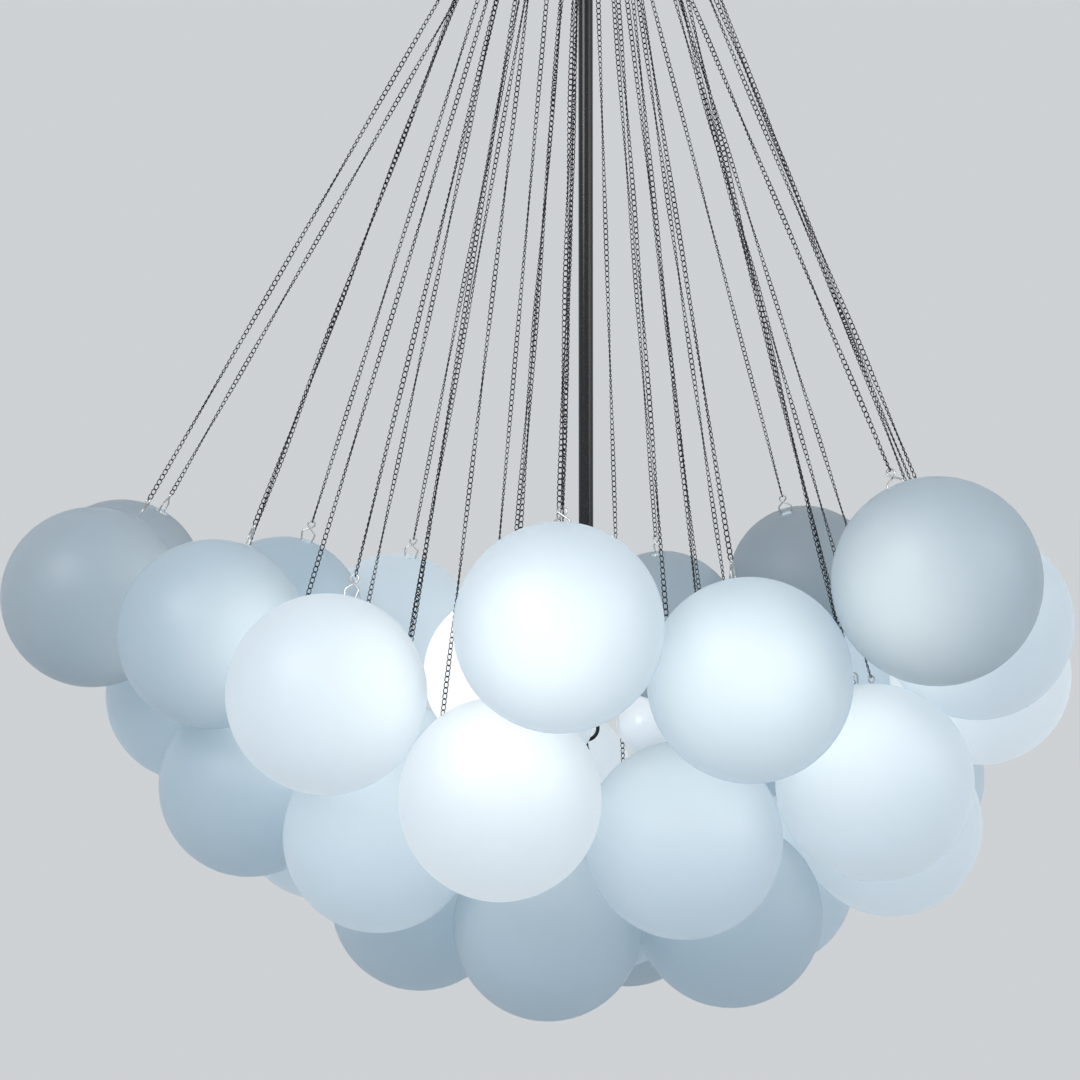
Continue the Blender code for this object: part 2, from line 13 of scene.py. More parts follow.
import bmesh
import bpy
import numpy as np
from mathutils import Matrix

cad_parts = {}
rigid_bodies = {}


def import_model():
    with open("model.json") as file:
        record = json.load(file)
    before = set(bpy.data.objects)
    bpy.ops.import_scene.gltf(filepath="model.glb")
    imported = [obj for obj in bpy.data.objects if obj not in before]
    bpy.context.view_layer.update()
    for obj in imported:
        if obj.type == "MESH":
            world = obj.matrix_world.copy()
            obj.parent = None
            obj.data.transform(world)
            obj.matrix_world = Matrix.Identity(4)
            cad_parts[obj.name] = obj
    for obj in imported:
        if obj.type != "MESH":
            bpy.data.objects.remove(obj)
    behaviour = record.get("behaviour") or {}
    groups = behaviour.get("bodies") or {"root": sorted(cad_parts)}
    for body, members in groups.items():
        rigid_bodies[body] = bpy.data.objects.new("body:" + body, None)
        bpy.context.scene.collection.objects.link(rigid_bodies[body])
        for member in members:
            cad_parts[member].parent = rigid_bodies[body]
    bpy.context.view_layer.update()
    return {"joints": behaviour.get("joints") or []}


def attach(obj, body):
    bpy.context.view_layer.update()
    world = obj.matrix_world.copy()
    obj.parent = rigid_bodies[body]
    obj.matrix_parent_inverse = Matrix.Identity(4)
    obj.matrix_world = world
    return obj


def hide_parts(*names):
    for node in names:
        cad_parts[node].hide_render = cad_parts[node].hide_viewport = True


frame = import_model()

MM = 0.001
FIT_GAP = 0.3 * MM
TURN = 2 * math.pi
UP = np.array([0.0, 0.0, 1.0])

# %% [markdown]
# ## Where each pendant hangs
#
# A pendant is one globe with its clip and chain. Its globe turns about the chain, so the joint of
# that turn gives the globe's middle and the chain's direction. Reading both from the frame keeps
# the dressed piece exactly where the solid one is, which numbers typed a second time would not.

# %% The pendants, read from the joints
CENTRE_PENDANT = "lower_07"
CENTRE_HOOK_LEVEL = -732.7 * MM
SWINGS = {j["child"]: j for j in frame["joints"] if j["name"].endswith("_swing")}
RAIL_LEVEL = next(iter(SWINGS.values()))["pos_m"][2]


def pendant_places():
    """Each pendant's globe middle, the point that its chain hangs from, and the body it rides on.

    The hanging point is where the line through the middle, along the turning axis, reaches the
    level of the rails, or of the hook under the lamps for the pendant in the middle.
    """
    places = {}
    for joint in [j for j in frame["joints"] if j["name"].endswith("_turn")]:
        tier, _, number = joint["child"].split("_")
        centre = np.array(joint["pos_m"])
        along = np.array(joint["axis"])
        name = f"{tier}_{number}"
        level = CENTRE_HOOK_LEVEL if name == CENTRE_PENDANT else RAIL_LEVEL
        hook = centre + along * (level - centre[2]) / along[2]
        places[name] = centre, hook, joint["parent"]
    return places


PENDANTS = pendant_places()
print(len(PENDANTS), "pendants,", len(SWINGS), "of them swing")


def node_for(name, kind):
    """The model's node for a part of a pendant, such as upper_globe_01 for upper_01's globe."""
    tier, number = name.split("_")
    return f"{tier}_{kind}_{number}"


# %% [markdown]
# ## Surfaces as arrays
#
# Every new surface here is a sheet of points with rows and columns: a profile turned round an
# axis, or a ring carried along a line. Whole sheets are worked out at once with numpy and handed
# to the mesh in one go, which is quick, and keeps each formula in one place.

# %% Sheets, turned shapes and tubes


def sheet_faces(rows, columns, closed_rows=False):
    """Four-sided faces between neighbouring rows and columns. Columns always close up."""
    row = np.arange(rows if closed_rows else rows - 1)[:, None]
    column = np.arange(columns)[None, :]
    here = row * columns
    there = (row + 1) % rows * columns
    beside = (column + 1) % columns
    corners = (here + column, here + beside, there + beside, there + column)
    return np.stack(corners, axis=-1).reshape(-1, 4)


def full_turn(steps):
    """Angles in even steps round a circle."""
    return np.linspace(0, TURN, steps, endpoint=False)


def around(radius, angle, level):
    """Points about Z: x = r cos a, y = r sin a, z = level."""
    parts = np.broadcast_arrays(radius * np.cos(angle), radius * np.sin(angle), level)
    return np.stack(parts, axis=-1)


def turned(profile, steps):
    """A profile of (radius, level) turned about Z, as a grid of levels and angles.

    A closed shape's profile runs from its lowest point up the outer side, so faces point out.
    """
    radius, level = np.asarray(profile, float).T[:, :, None]
    points = around(radius, full_turn(steps), level)
    return points.reshape(-1, 3), sheet_faces(len(profile), steps)


def unit(vectors):
    """Each vector made 1 long."""
    return vectors / np.linalg.norm(vectors, axis=-1, keepdims=True)


def tube(path, radius, sides, flat=(0, 1, 0), closed=False):
    """A ring carried along a path: point = path + radius (cos a across + sin a over).

    Across lies square to the path and to the flat direction, and over is square to both. Each end
    closes on a point at its middle.
    """
    path = np.asarray(path, float)
    ahead = np.roll(path, -1, 0) - np.roll(path, 1, 0)
    if not closed:
        ahead[0], ahead[-1] = path[1] - path[0], path[-1] - path[-2]
    ahead = unit(ahead)
    across = unit(np.cross(ahead, np.asarray(flat, float)))
    over = np.cross(across, ahead)
    angle = full_turn(sides)[None, :, None]
    circle = np.cos(angle) * across[:, None] + np.sin(angle) * over[:, None]
    points = path[:, None] + radius * circle
    if not closed:
        ends = np.repeat(path[[0, -1], None], sides, 1)
        points = np.concatenate([ends[:1], points, ends[1:]])
    faces = sheet_faces(len(points), sides, closed)
    return points.reshape(-1, 3), faces[:, ::-1]


def together(*shapes):
    """Several shapes as one: points in a row, and faces counted on from the shape before."""
    points, faces = zip(*shapes)
    starts = np.cumsum([0] + [len(part) for part in points[:-1]])
    faces = [part + start for part, start in zip(faces, starts)]
    return np.concatenate(points), np.concatenate(faces)


def carried(shape, turn=np.eye(3), shift=(0, 0, 0)):
    """A shape turned by a 3 by 3 matrix, then shifted."""
    points, faces = shape
    return points @ turn.T + np.asarray(shift, float), faces


def turn_about_z(angle):
    """The matrix that turns by an angle about Z."""
    c, s = math.cos(angle), math.sin(angle)
    return np.array([[c, -s, 0], [s, c, 0], [0, 0, 1.0]])


def level_way(azimuth):
    """The level direction at an azimuth."""
    return np.array([math.cos(azimuth), math.sin(azimuth), 0])


def upright(direction, heading):
    """The matrix that stands Z along a direction, with X lying level across a heading."""
    z = unit(direction)
    x = unit(np.cross(heading, z))
    return np.stack([x, np.cross(z, x), z], axis=1)


# %% Lines with round corners
SIDE_SHARE = 0.45


def rounded(points, radius, closed=False, steps=5):
    """A line whose corners are rounded: p(t) = (1 - t)^2 a + 2 t (1 - t) c + t^2 b.

    The corner is c, and a and b lie a radius away from it along its two sides, or a fixed share of
    a side away where the side is short.
    """
    points = np.asarray(points, float)
    count = len(points)
    line = [] if closed else [points[0]]
    share = np.linspace(0, 1, steps)[:, None]
    for number in range(count) if closed else range(1, count - 1):
        corner = points[number]
        ends = []
        for side in (points[number - 1] - corner, points[(number + 1) % count] - corner):
            length = np.linalg.norm(side)
            ends.append(corner + side / length * min(radius, length * SIDE_SHARE))
        line.extend((1 - share) ** 2 * ends[0] + 2 * share * (1 - share) * corner
                    + share**2 * ends[1])
    if not closed:
        line.append(points[-1])
    return np.array(line)


def turned_ring(inside, outside, low, high, radius, steps=48):
    """A ring about Z between two radii and two levels, with its four corners rounded."""
    corners = [(inside, low), (outside, low), (outside, high), (inside, high)]
    loop = rounded(corners, radius, closed=True)
    return turned(np.concatenate([loop, loop[:1]]), steps)


# %% Meshes and pieces
MERGE_DISTANCE = 0.001 * MM


def new_object(name, data):
    """A new object, linked into the scene."""
    made = bpy.data.objects.new(name, data)
    bpy.context.scene.collection.objects.link(made)
    return made


def new_mesh(name, shape):
    """A mesh from points and four-sided faces.

    The doubled points at poles and tube ends are merged, and faces without area are dropped.
    """
    points, faces = shape
    mesh = bpy.data.meshes.new(name)
    mesh.vertices.add(len(points))
    mesh.vertices.foreach_set("co", np.ascontiguousarray(points, np.float32).ravel())
    mesh.loops.add(faces.size)
    mesh.loops.foreach_set("vertex_index", np.ascontiguousarray(faces, np.int32).ravel())
    mesh.polygons.add(len(faces))
    mesh.polygons.foreach_set("loop_start", np.arange(0, faces.size, 4, dtype=np.int32))
    mesh.update()
    mesh.validate()
    bm = bmesh.new()
    bm.from_mesh(mesh)
    bmesh.ops.remove_doubles(bm, verts=bm.verts, dist=MERGE_DISTANCE)
    bmesh.ops.dissolve_degenerate(bm, edges=bm.edges, dist=MERGE_DISTANCE)
    bm.to_mesh(mesh)
    bm.free()
    return mesh


def new_piece(name, shape, finish, body, nodes, sharp_deg=40):
    """A finished piece: its mesh and finish, the body it rides on and the nodes it stands for.

    The shape is points and faces, or a mesh that is ready made. A finish is a material and
    the name of its slot, which is not used. Edges that bend by more than the sharp angle
    aren't smoothed.
    """
    material, slot = finish
    mesh = shape if isinstance(shape, bpy.types.Mesh) else new_mesh(name, shape)
    mesh.name = name
    mesh.shade_smooth()
    mesh.set_sharp_from_angle(angle=math.radians(sharp_deg))
    mesh.materials.clear()
    mesh.materials.append(material)
    piece = new_object(name, mesh)
    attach(piece, body)
    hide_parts(*nodes)
    return piece


def fixed_piece(name, shape, finish, node, sharp_deg=40):
    """A piece that never moves. Prints its faces and its size in millimetres."""
    piece = new_piece(name, shape, finish, "frame", [node], sharp_deg)
    sides = ", ".join(f"{side / MM:.1f}" for side in piece.dimensions)
    print(f"{name}: {len(piece.data.polygons)} faces, {sides} mm")


# %% [markdown]
# ## The camera
#
# The photograph was taken from about the height of the upper tier of globes, two metres away and
# tilted up a little. The values are those of a camera fitted to the outlines of the globes, since
# a camera placed by eye would put each globe a little off.

# %% Camera at the photograph's place
IMAGE_SIDE = 1080
FOCAL_PIXELS = 2350
CAMERA_PLACE = (-39.2 * MM, -2002.5 * MM, -642.7 * MM)
CAMERA_TILT_DEG = 2.29

lens = bpy.data.cameras.new("camera")
lens.sensor_fit = "HORIZONTAL"
lens.lens = lens.sensor_width * FOCAL_PIXELS / IMAGE_SIDE
camera = new_object("camera", lens)
camera.location = CAMERA_PLACE
camera.rotation_euler = (math.radians(90 + CAMERA_TILT_DEG), 0, 0)
bpy.context.scene.camera = camera
print(f"lens {lens.lens:.1f} mm on a sensor {lens.sensor_width:.0f} mm wide")

# %% [markdown]
# ## Node helpers
#
# A finish is a small tree of nodes. It could be joined by hand in the shader editor, but a script
# can be read and changed. These helpers add a node, set its values and join its sockets, so that
# each finish below reads as a list of what it does.

# %% Helpers for node trees


def set_inputs(tree, node, inputs):
    """Links the inputs that are given a socket, and sets the others to their value."""
    for key, value in inputs.items():
        if isinstance(value, bpy.types.NodeSocket):
            tree.links.new(value, node.inputs[key])
        else:
            node.inputs[key].default_value = value


def add_node(tree, kind, inputs=None, **settings):
    """A new node with its settings, and its inputs linked or set."""
    node = tree.nodes.new(kind)
    for key, value in settings.items():
        setattr(node, key, value)
    set_inputs(tree, node, inputs or {})
    return node


def combined(tree, operation, first, second):
    """The result of a Math node on two sockets or numbers."""
    return add_node(tree, "ShaderNodeMath", {0: first, 1: second}, operation=operation).outputs[0]


def new_group(name, inputs, outputs):
    """A shader node group with named number inputs, named outputs, and its two end nodes."""
    tree = bpy.data.node_groups.new(name, "ShaderNodeTree")
    for label, value in inputs.items():
        socket = tree.interface.new_socket(label, in_out="INPUT", socket_type="NodeSocketFloat")
        socket.default_value = value
    for label, kind in outputs.items():
        tree.interface.new_socket(label, in_out="OUTPUT", socket_type=f"NodeSocket{kind}")
    return tree, tree.nodes.new("NodeGroupInput"), tree.nodes.new("NodeGroupOutput")


def new_material(name, **values):
    """A material with a Principled shader, whose plain values are set by name."""
    material = bpy.data.materials.new(name)
    material.use_nodes = True
    shader = material.node_tree.nodes["Principled BSDF"]
    for key, value in values.items():
        label = key.replace("_", " ").title().replace("Ior", "IOR")
        if label.endswith("Color"):
            value = (*value, 1)
        shader.inputs[label].default_value = value
    return material, material.node_tree, shader


def placed_group(tree, group, inputs):
    """A node that uses a group, with its inputs linked or set."""
    return add_node(tree, "ShaderNodeGroup", inputs, node_tree=group)


# %% [markdown]
# ## Lamplight in the globes
#
# Frosted glass scatters light forward. Lamplight enters a globe on the side that faces the lamps,
# makes a bright patch on that wall, and fills the whole ball with a dimmer, even light. Through
# the near wall the patch is seen as a soft bright spot. A path tracer could find all that from
# the bulbs alone, but only slowly and with noise, and a real-time viewer couldn't. So the light
# is worked out once for each point and kept in the mesh as an attribute named glow, and rough
# glass in front of it makes the blur.

# %% Where the light comes from
LAMP_COUNT = 5
LAMP_AZIMUTHS = TURN * (np.arange(LAMP_COUNT) + 0.5) / LAMP_COUNT
LIGHT_RING = 219 * MM
LIGHT_LEVEL = -660 * MM
LIGHT_REACH = 330 * MM
WRAP = 0.67
GLOBE_RADIUS = 74.6 * MM
GLASS_WALL = 2.5 * MM
# An even ring, wider than the bulbs', since the inner globes have passed the light on.
LIGHTS = around(LIGHT_RING, LAMP_AZIMUTHS, LIGHT_LEVEL)


def lamplight(points, normals):
    """Light on each point: the mean over the lights of (reach / distance)^2 x facing.

    Facing is (cosine to the light + wrap) / (1 + wrap), and none below zero.
    """
    to_light = LIGHTS[None] - points[:, None]
    distance = np.linalg.norm(to_light, axis=2)
    cosine = (to_light * normals[:, None]).sum(2) / distance
    facing = np.clip((cosine + WRAP) / (1 + WRAP), 0, 1)
    return ((LIGHT_REACH / distance) ** 2 * facing).mean(1)


# %% The light inside each globe
SURVEY_ROWS = 12
SURVEY_COLUMNS = 18
# Even steps of height and azimuth, so that each direction stands for the same area of the ball.
height = 1 - (np.arange(SURVEY_ROWS)[:, None] + 0.5) * 2 / SURVEY_ROWS
azimuth = np.arange(SURVEY_COLUMNS) * TURN / SURVEY_COLUMNS
DIRECTIONS = around(np.sqrt(1 - height**2), azimuth, height).reshape(-1, 3)

# The share of the light that reaches a globe, where that isn't 1. Neighbours shade some globes, and
# a globe beside a lamp gets more. The shares bring each globe to its level in the photograph.
REACHED = {"upper_01": 0.95, "upper_03": 1.08, "upper_04": 1.12, "upper_05": 1.16,
           "upper_08": 1.4, "upper_09": 0.5, "upper_10": 0.58, "upper_11": 0.94,
           "upper_12": 0.87, "upper_13": 0.85, "upper_14": 0.8, "upper_15": 1.13,
           "upper_16": 1.37, "upper_17": 2.5, "middle_01": 1.22, "middle_02": 0.7,
           "middle_04": 1.09, "middle_05": 0.92, "middle_06": 1.07, "middle_07": 1.02,
           "middle_08": 1.18, "lower_01": 0.96, "lower_04": 1.2}
INSIDE_LIGHT = {}
for name, (centre, _, _) in PENDANTS.items():
    INSIDE_LIGHT[name] = lamplight(centre + DIRECTIONS * GLOBE_RADIUS, DIRECTIONS).mean()
    print(f"{name}: mean light {INSIDE_LIGHT[name]:.2f} x {REACHED.get(name, 1)}")

# %% [markdown]
# ## Globes
#
# A globe is blown glass, etched white, with one small hole at the top whose lip stands up a
# little. It could be a ball with a finish, but the hole and the thickness of the wall show at the
# neck, so the shape is a real shell: an outer profile with a raised ring round the hole, and an
# inner profile, turned about the chain's line.

# %% Globe shape
NECK_RADIUS = 6.5 * MM
LIP_REACH = 9.2 * MM
LIP_RISE = 0.9 * MM
GLOBE_ROWS = 44
GLOBE_COLUMNS = 72
ROW_CROWDING = 1.35


def arc(radius, angle, level=0.0):
    """Part of a ball's profile: r = R sin a, z = level + R cos a, with a from the top."""
    return np.stack([radius * np.sin(angle), level + radius * np.cos(angle)], axis=1)


def globe_profile():
    """Up the outside and down the inside, each an arc from the hole to the bottom.

    The outer radius has a smooth bump, highest at the hole, for the raised ring. The outer rows
    crowd towards the hole, since their angle grows with a power of the row's number.
    """
    inside = GLOBE_RADIUS - GLASS_WALL
    start = math.asin(NECK_RADIUS / GLOBE_RADIUS)
    share = np.linspace(0, 1, GLOBE_ROWS)
    angle = start + (math.pi - start) * share**ROW_CROWDING
    reach = GLOBE_RADIUS * np.sin(angle)
    bump = np.clip(1 - ((reach - NECK_RADIUS) / (LIP_REACH - NECK_RADIUS)) ** 2, 0, 1)
    bump = np.where(angle < math.pi / 2, bump, 0)
    inner_start = math.asin(NECK_RADIUS / inside)
    outer = arc(GLOBE_RADIUS + LIP_RISE * bump**2, angle)
    inner = arc(inside, inner_start + (math.pi - inner_start) * share)
    return np.concatenate([outer[::-1], inner])


# %% Light kept in the glass
EVEN_STRENGTH = 0.657
EVEN_POWER = 2
PATCH_STRENGTH = 0.904
PATCH_POWER = -0.73
GLOW_FULL = 3.0


def add_glow(mesh, name):
    """Keeps the light at each point in the attribute glow, as a share of the fullest glow.

    With m for the mean light of the globe and p for the light on the point, the outer wall gives
    off a m^e, and the inner wall shows b p m^f. Its power f is negative, so a far globe keeps its
    patch though it has little light.
    """
    points = np.empty(len(mesh.vertices) * 3, np.float32)
    mesh.vertices.foreach_get("co", points)
    centre = PENDANTS[name][0]
    out = points.reshape(-1, 3).astype(float) - centre
    reach = np.linalg.norm(out, axis=1)
    normals = out / reach[:, None]
    share = REACHED.get(name, 1)
    mean = share * INSIDE_LIGHT[name]
    patch = share * lamplight(centre + normals * GLOBE_RADIUS, normals)
    outer = EVEN_STRENGTH * mean**EVEN_POWER
    inner = PATCH_STRENGTH * patch * mean**PATCH_POWER
    glow = np.where(reach > GLOBE_RADIUS - GLASS_WALL / 2, outer, inner)
    glow = np.clip(glow / GLOW_FULL, 0, 1)
    attribute = mesh.attributes.new("glow", "FLOAT", "POINT")
    attribute.data.foreach_set("value", glow.astype(np.float32))
    return glow


# %% [markdown]
# ## Frosted glass
#
# Etched glass scatters what passes through it, so what lies behind is a blur, and the lit back
# wall of a globe shows through its front as a soft bright patch. The shader is rough glass over a
# milky colour, and the glow attribute is coloured from blue-grey in the dim parts to a cool white
# in the bright ones. Subsurface scattering could give the milkiness too, but it renders slowly.

# %% Shared effects: the lamplight's colour, and fine etched grain
DIM_TINT = (0.52, 0.79, 1.0)
CLEAR_TINT = (1.0, 0.96, 0.92)
PATCH_TINT = (1.0, 0.93, 0.81)
TINT_STOPS = ((0.0, DIM_TINT), (0.06, DIM_TINT), (0.22, CLEAR_TINT), (0.5, PATCH_TINT))
GRAIN_HEIGHT = 0.2 * MM


def glow_group():
    """Turns an amount of light into its colour: the amount times a tint that pales as it grows.

    Only the patch is brighter than the clear stop, and its tint makes up for the glass before it.
    """
    tree, start, end = new_group("lamplight", {"Light": 0.0}, {"Color": "Color"})
    tint = add_node(tree, "ShaderNodeValToRGB", {"Fac": start.outputs["Light"]})
    for place, _ in TINT_STOPS[1:-1]:
        tint.color_ramp.elements.new(place)
    for element, (place, colour) in zip(tint.color_ramp.elements, TINT_STOPS):
        element.position = place
        element.color = (*colour, 1)
    scaled = add_node(tree, "ShaderNodeVectorMath",
                      {0: tint.outputs["Color"], "Scale": start.outputs["Light"]},
                      operation="SCALE")
    set_inputs(tree, end, {"Color": scaled.outputs["Vector"]})
    return tree


def grain_group():
    """Fine grain on Object coordinates: a mask from 0 to 1 and a bumped normal."""
    tree, start, end = new_group("fine_grain", {"Scale": 900.0, "Depth": 0.02},
                                 {"Mask": "Float", "Normal": "Vector"})
    place = add_node(tree, "ShaderNodeTexCoord")
    noise = add_node(tree, "ShaderNodeTexNoise",
                     {"Vector": place.outputs["Object"], "Scale": start.outputs["Scale"],
                      "Detail": 2.0})
    bump = add_node(tree, "ShaderNodeBump",
                    {"Height": noise.outputs["Fac"], "Strength": start.outputs["Depth"],
                     "Distance": GRAIN_HEIGHT})
    set_inputs(tree, end, {"Mask": noise.outputs["Fac"], "Normal": bump.outputs["Normal"]})
    return tree


LAMPLIGHT = glow_group()
GRAIN = grain_group()


def frosted_glass():
    """Rough glass over a milky colour. Only the sides that face out of the glass glow."""
    material, tree, shader = new_material(
        "frosted_glass", base_color=(0.485, 0.55, 0.60), roughness=0.45, metallic=0.0, ior=1.45,
        transmission_weight=0.6, emission_strength=GLOW_FULL)
    light = add_node(tree, "ShaderNodeAttribute", attribute_name="glow")
    side = add_node(tree, "ShaderNodeNewGeometry")
    front = combined(tree, "SUBTRACT", 1.0, side.outputs["Backfacing"])
    amount = combined(tree, "MULTIPLY", light.outputs["Fac"], front)
    colour = placed_group(tree, LAMPLIGHT, {"Light": amount})
    grain = placed_group(tree, GRAIN, {"Scale": 700.0, "Depth": 0.05})
    set_inputs(tree, shader, {"Emission Color": colour.outputs["Color"],
                              "Normal": grain.outputs["Normal"]})
    return material, "frosted_glass"


GLASS = frosted_glass()

# %% The globes


def add_globes():
    """A globe on each pendant, its hole on the chain's line, on the body that turns about it."""
    shape = turned(globe_profile(), GLOBE_COLUMNS)
    for name, (centre, hook, _) in PENDANTS.items():
        turn = upright(hook - centre, np.array([centre[0], centre[1], 0]))
        node = node_for(name, "globe")
        globe = carried(shape, turn, centre)
        piece = new_piece(f"{name}_glass", globe, GLASS, node, [node], sharp_deg=60)
        glow = add_glow(piece.data, name)
        print(f"{name}: glow {glow.min():.2f} to {glow.max():.2f}")


add_globes()

# %% [markdown]
# ## Spring clips
#
# Each globe is held by a clip bent from one spring wire: an eye for the chain, wires that cross
# under it, two shoulders, and two legs whose splayed feet catch under the glass. A curve object
# would do, but a tube along a line with rounded corners gives tight bends and closed ends at once.

# %% Clip shape
CLIP_WIRE = 1.6 * MM
CLIP_BEND = 1.8 * MM
CLIP_EYE = 6.2 * MM
CLIP_HEIGHT = 21 * MM
SHOULDER_SPREAD = 12.7 * MM
SHOULDER_HEIGHT = 8.6 * MM
CLIP_FOOT_REACH = 2.4 * MM
CLIP_FOOT_FALL = 1.2 * MM
NECK_LEVEL = math.sqrt(GLOBE_RADIUS**2 - NECK_RADIUS**2)
EYE_LEVEL = NECK_LEVEL + CLIP_HEIGHT - CLIP_EYE / 2 - CLIP_WIRE / 2
EYE_ANGLES = np.radians(np.linspace(-40, 220, 15))
LEG_LEAN = 0.5 * MM
LEG_RISE = 1 * MM


def clip_shape():
    """The clip in its own plane, X across and Z up the chain, from the globe's middle."""
    leg = NECK_RADIUS - CLIP_WIRE / 2 - FIT_GAP
    heel = NECK_LEVEL - GLASS_WALL - CLIP_WIRE
    side = CLIP_WIRE / 2 + FIT_GAP / 2
    half = [(leg + CLIP_FOOT_REACH + CLIP_WIRE / 2, heel - CLIP_FOOT_FALL), (leg, heel),
            (leg - LEG_LEAN, NECK_LEVEL + LEG_RISE),
            (SHOULDER_SPREAD / 2, NECK_LEVEL + SHOULDER_HEIGHT)]
    share = np.linspace(0, 1, len(EYE_ANGLES))
    eye = np.stack([CLIP_EYE / 2 * np.cos(EYE_ANGLES), side * (1 - 2 * share),
                    EYE_LEVEL + CLIP_EYE / 2 * np.sin(EYE_ANGLES)], axis=1)
    left = rounded([(-x, side, z) for x, z in half] + [eye[0]], CLIP_BEND)
    right = rounded([eye[-1]] + [(x, -side, z) for x, z in reversed(half)], CLIP_BEND)
    return tube(np.concatenate([left, eye[1:-1], right]), CLIP_WIRE / 2, sides=8)


# %% [markdown]
# ## Chains
#
# The chain is a fine curb chain. Its links are twisted, so that they all lie flat and look like a
# row of small rings, and the whole chain turns slowly along its length. An Array modifier could
# repeat a link, but the slow turn is plainer as arithmetic, so all the links of a chain are turned
# and shifted at once. There are thousands of links, so each has only a few dozen faces.

# %% Chain shape
LINK_WIRE = 0.85 * MM
LINK_WIDTH = 4.3 * MM
LINK_PITCH = 4.7 * MM
LINK_SADDLE = 0.5 * MM
LINK_POINTS = 12
LINK_SIDES = 4
TOP_LINK_RADIUS = 4.2 * MM
TOP_LINK_WIRE = 1.8 * MM
LINK_ROOM = 0.5 * MM


def link_shape(pitch):
    """A twisted oval ring, Z along the chain: x = a cos t, y = -s sin 2t, z = b sin t.

    The saddle s brings one side of a link in front of its neighbour and the other side behind.
    """
    angle = np.arange(LINK_POINTS) * TURN / LINK_POINTS
    path = np.stack([(LINK_WIDTH - LINK_WIRE) / 2 * np.cos(angle),
                     -LINK_SADDLE * np.sin(2 * angle),
                     (pitch + LINK_WIRE) / 2 * np.sin(angle)], axis=1)
    return tube(path, LINK_WIRE / 2, LINK_SIDES, closed=True)


def chain_shape(low, high, roll, twist):
    """Links along Z from low to high: link k is turned by roll + k twist, and shifted."""
    count = max(1, round((high - low - LINK_WIRE) / LINK_PITCH))
    pitch = (high - low - LINK_WIRE) / count
    points, faces = link_shape(pitch)
    number = np.arange(count)
    angle = roll + number * twist
    c, s = np.cos(angle)[:, None], np.sin(angle)[:, None]
    x, y, z = points.T
    level = low + (pitch + LINK_WIRE) / 2 + number * pitch
    placed = np.stack([c * x - s * y, s * x + c * y, z + level[:, None]], axis=-1)
    faces = faces[None] + number[:, None, None] * len(points)
    return placed.reshape(-1, 3), faces.reshape(-1, 4)


def top_link(centre):
    """The larger last link: y = r cos t, z = centre + r sin t, square to the rail."""
    angle = full_turn(steps=20)
    path = np.stack([0 * angle, TOP_LINK_RADIUS * np.cos(angle),
                     centre + TOP_LINK_RADIUS * np.sin(angle)], axis=1)
    return tube(path, TOP_LINK_WIRE / 2, sides=6, flat=(1, 0, 0), closed=True)


def chain_for(length, hook_wire, roll, twist):
    """A pendant's links, from the clip's eye to the last link round the wire, and their length."""
    low = EYE_LEVEL + CLIP_EYE / 2 - CLIP_WIRE / 2 - LINK_WIRE
    centre = length + hook_wire / 2 + LINK_ROOM + TOP_LINK_WIRE / 2 - TOP_LINK_RADIUS
    high = centre - TOP_LINK_RADIUS + TOP_LINK_WIRE / 2 + LINK_WIRE
    shape = together(chain_shape(low, high, roll, twist), top_link(centre))
    return shape, centre + TOP_LINK_RADIUS - low


# %% [markdown]
# ## Metal finishes
#
# The chain, rod and canopy are black lacquered metal, a little brighter in worn patches, and the
# clips are bright spring steel. A photograph of metal would repeat and show its seams, so one group
# of nodes gives all of them their fine variation, on Object coordinates.

# %% Metals
WORN_MASK = (0.5, 0.75)
ROUGHNESS_SPREAD = (0.8, 1.25)


def metal(name, slot, base, worn, roughness, metallic, scale, depth, amount):
    """A finish whose colour shifts towards its worn one in small patches, with fine grain."""
    material, tree, shader = new_material(name, metallic=metallic, roughness=roughness)
    grain = placed_group(tree, GRAIN, {"Scale": scale, "Depth": depth})
    mask = add_node(tree, "ShaderNodeMapRange",
                    {"Value": grain.outputs["Mask"], "From Min": WORN_MASK[0],
                     "From Max": WORN_MASK[1], "To Max": amount})
    mix = add_node(tree, "ShaderNodeMix",
                   {"Factor": mask.outputs["Result"], "A": (*base, 1), "B": (*worn, 1)},
                   data_type="RGBA")
    rough = add_node(tree, "ShaderNodeMapRange",
                     {"Value": grain.outputs["Mask"], "To Min": roughness * ROUGHNESS_SPREAD[0],
                      "To Max": roughness * ROUGHNESS_SPREAD[1]})
    set_inputs(tree, shader, {"Base Color": mix.outputs["Result"],
                              "Roughness": rough.outputs["Result"],
                              "Normal": grain.outputs["Normal"]})
    return material, slot


# For each: its slot, colour and worn colour, its roughness and how metallic it is, then the scale
# and depth of its grain, and how far its patches go towards the worn colour.
CHAIN_METAL = metal("chain_metal", "black_metal", (0.016, 0.017, 0.019), (0.10, 0.105, 0.11),
                    0.34, 0.85, 260.0, 0.15, 0.8)
CLIP_METAL = metal("clip_metal", "steel", (0.58, 0.58, 0.57), (0.76, 0.76, 0.75),
                   0.25, 1.0, 500.0, 0.1, 0.5)
BLACK_METAL = metal("black_metal", "black_metal", (0.010, 0.010, 0.011), (0.03, 0.03, 0.032),
                    0.20, 0.1, 420.0, 0.04, 0.5)
STEEL = metal("zinc_steel", "steel", (0.50, 0.51, 0.52), (0.66, 0.66, 0.65),
              0.34, 1.0, 300.0, 0.1, 0.7)
PLASTIC = metal("pale_plastic", "pale_plastic", (0.72, 0.72, 0.69), (0.78, 0.78, 0.76),
                0.50, 0.0, 350.0, 0.05, 0.6)
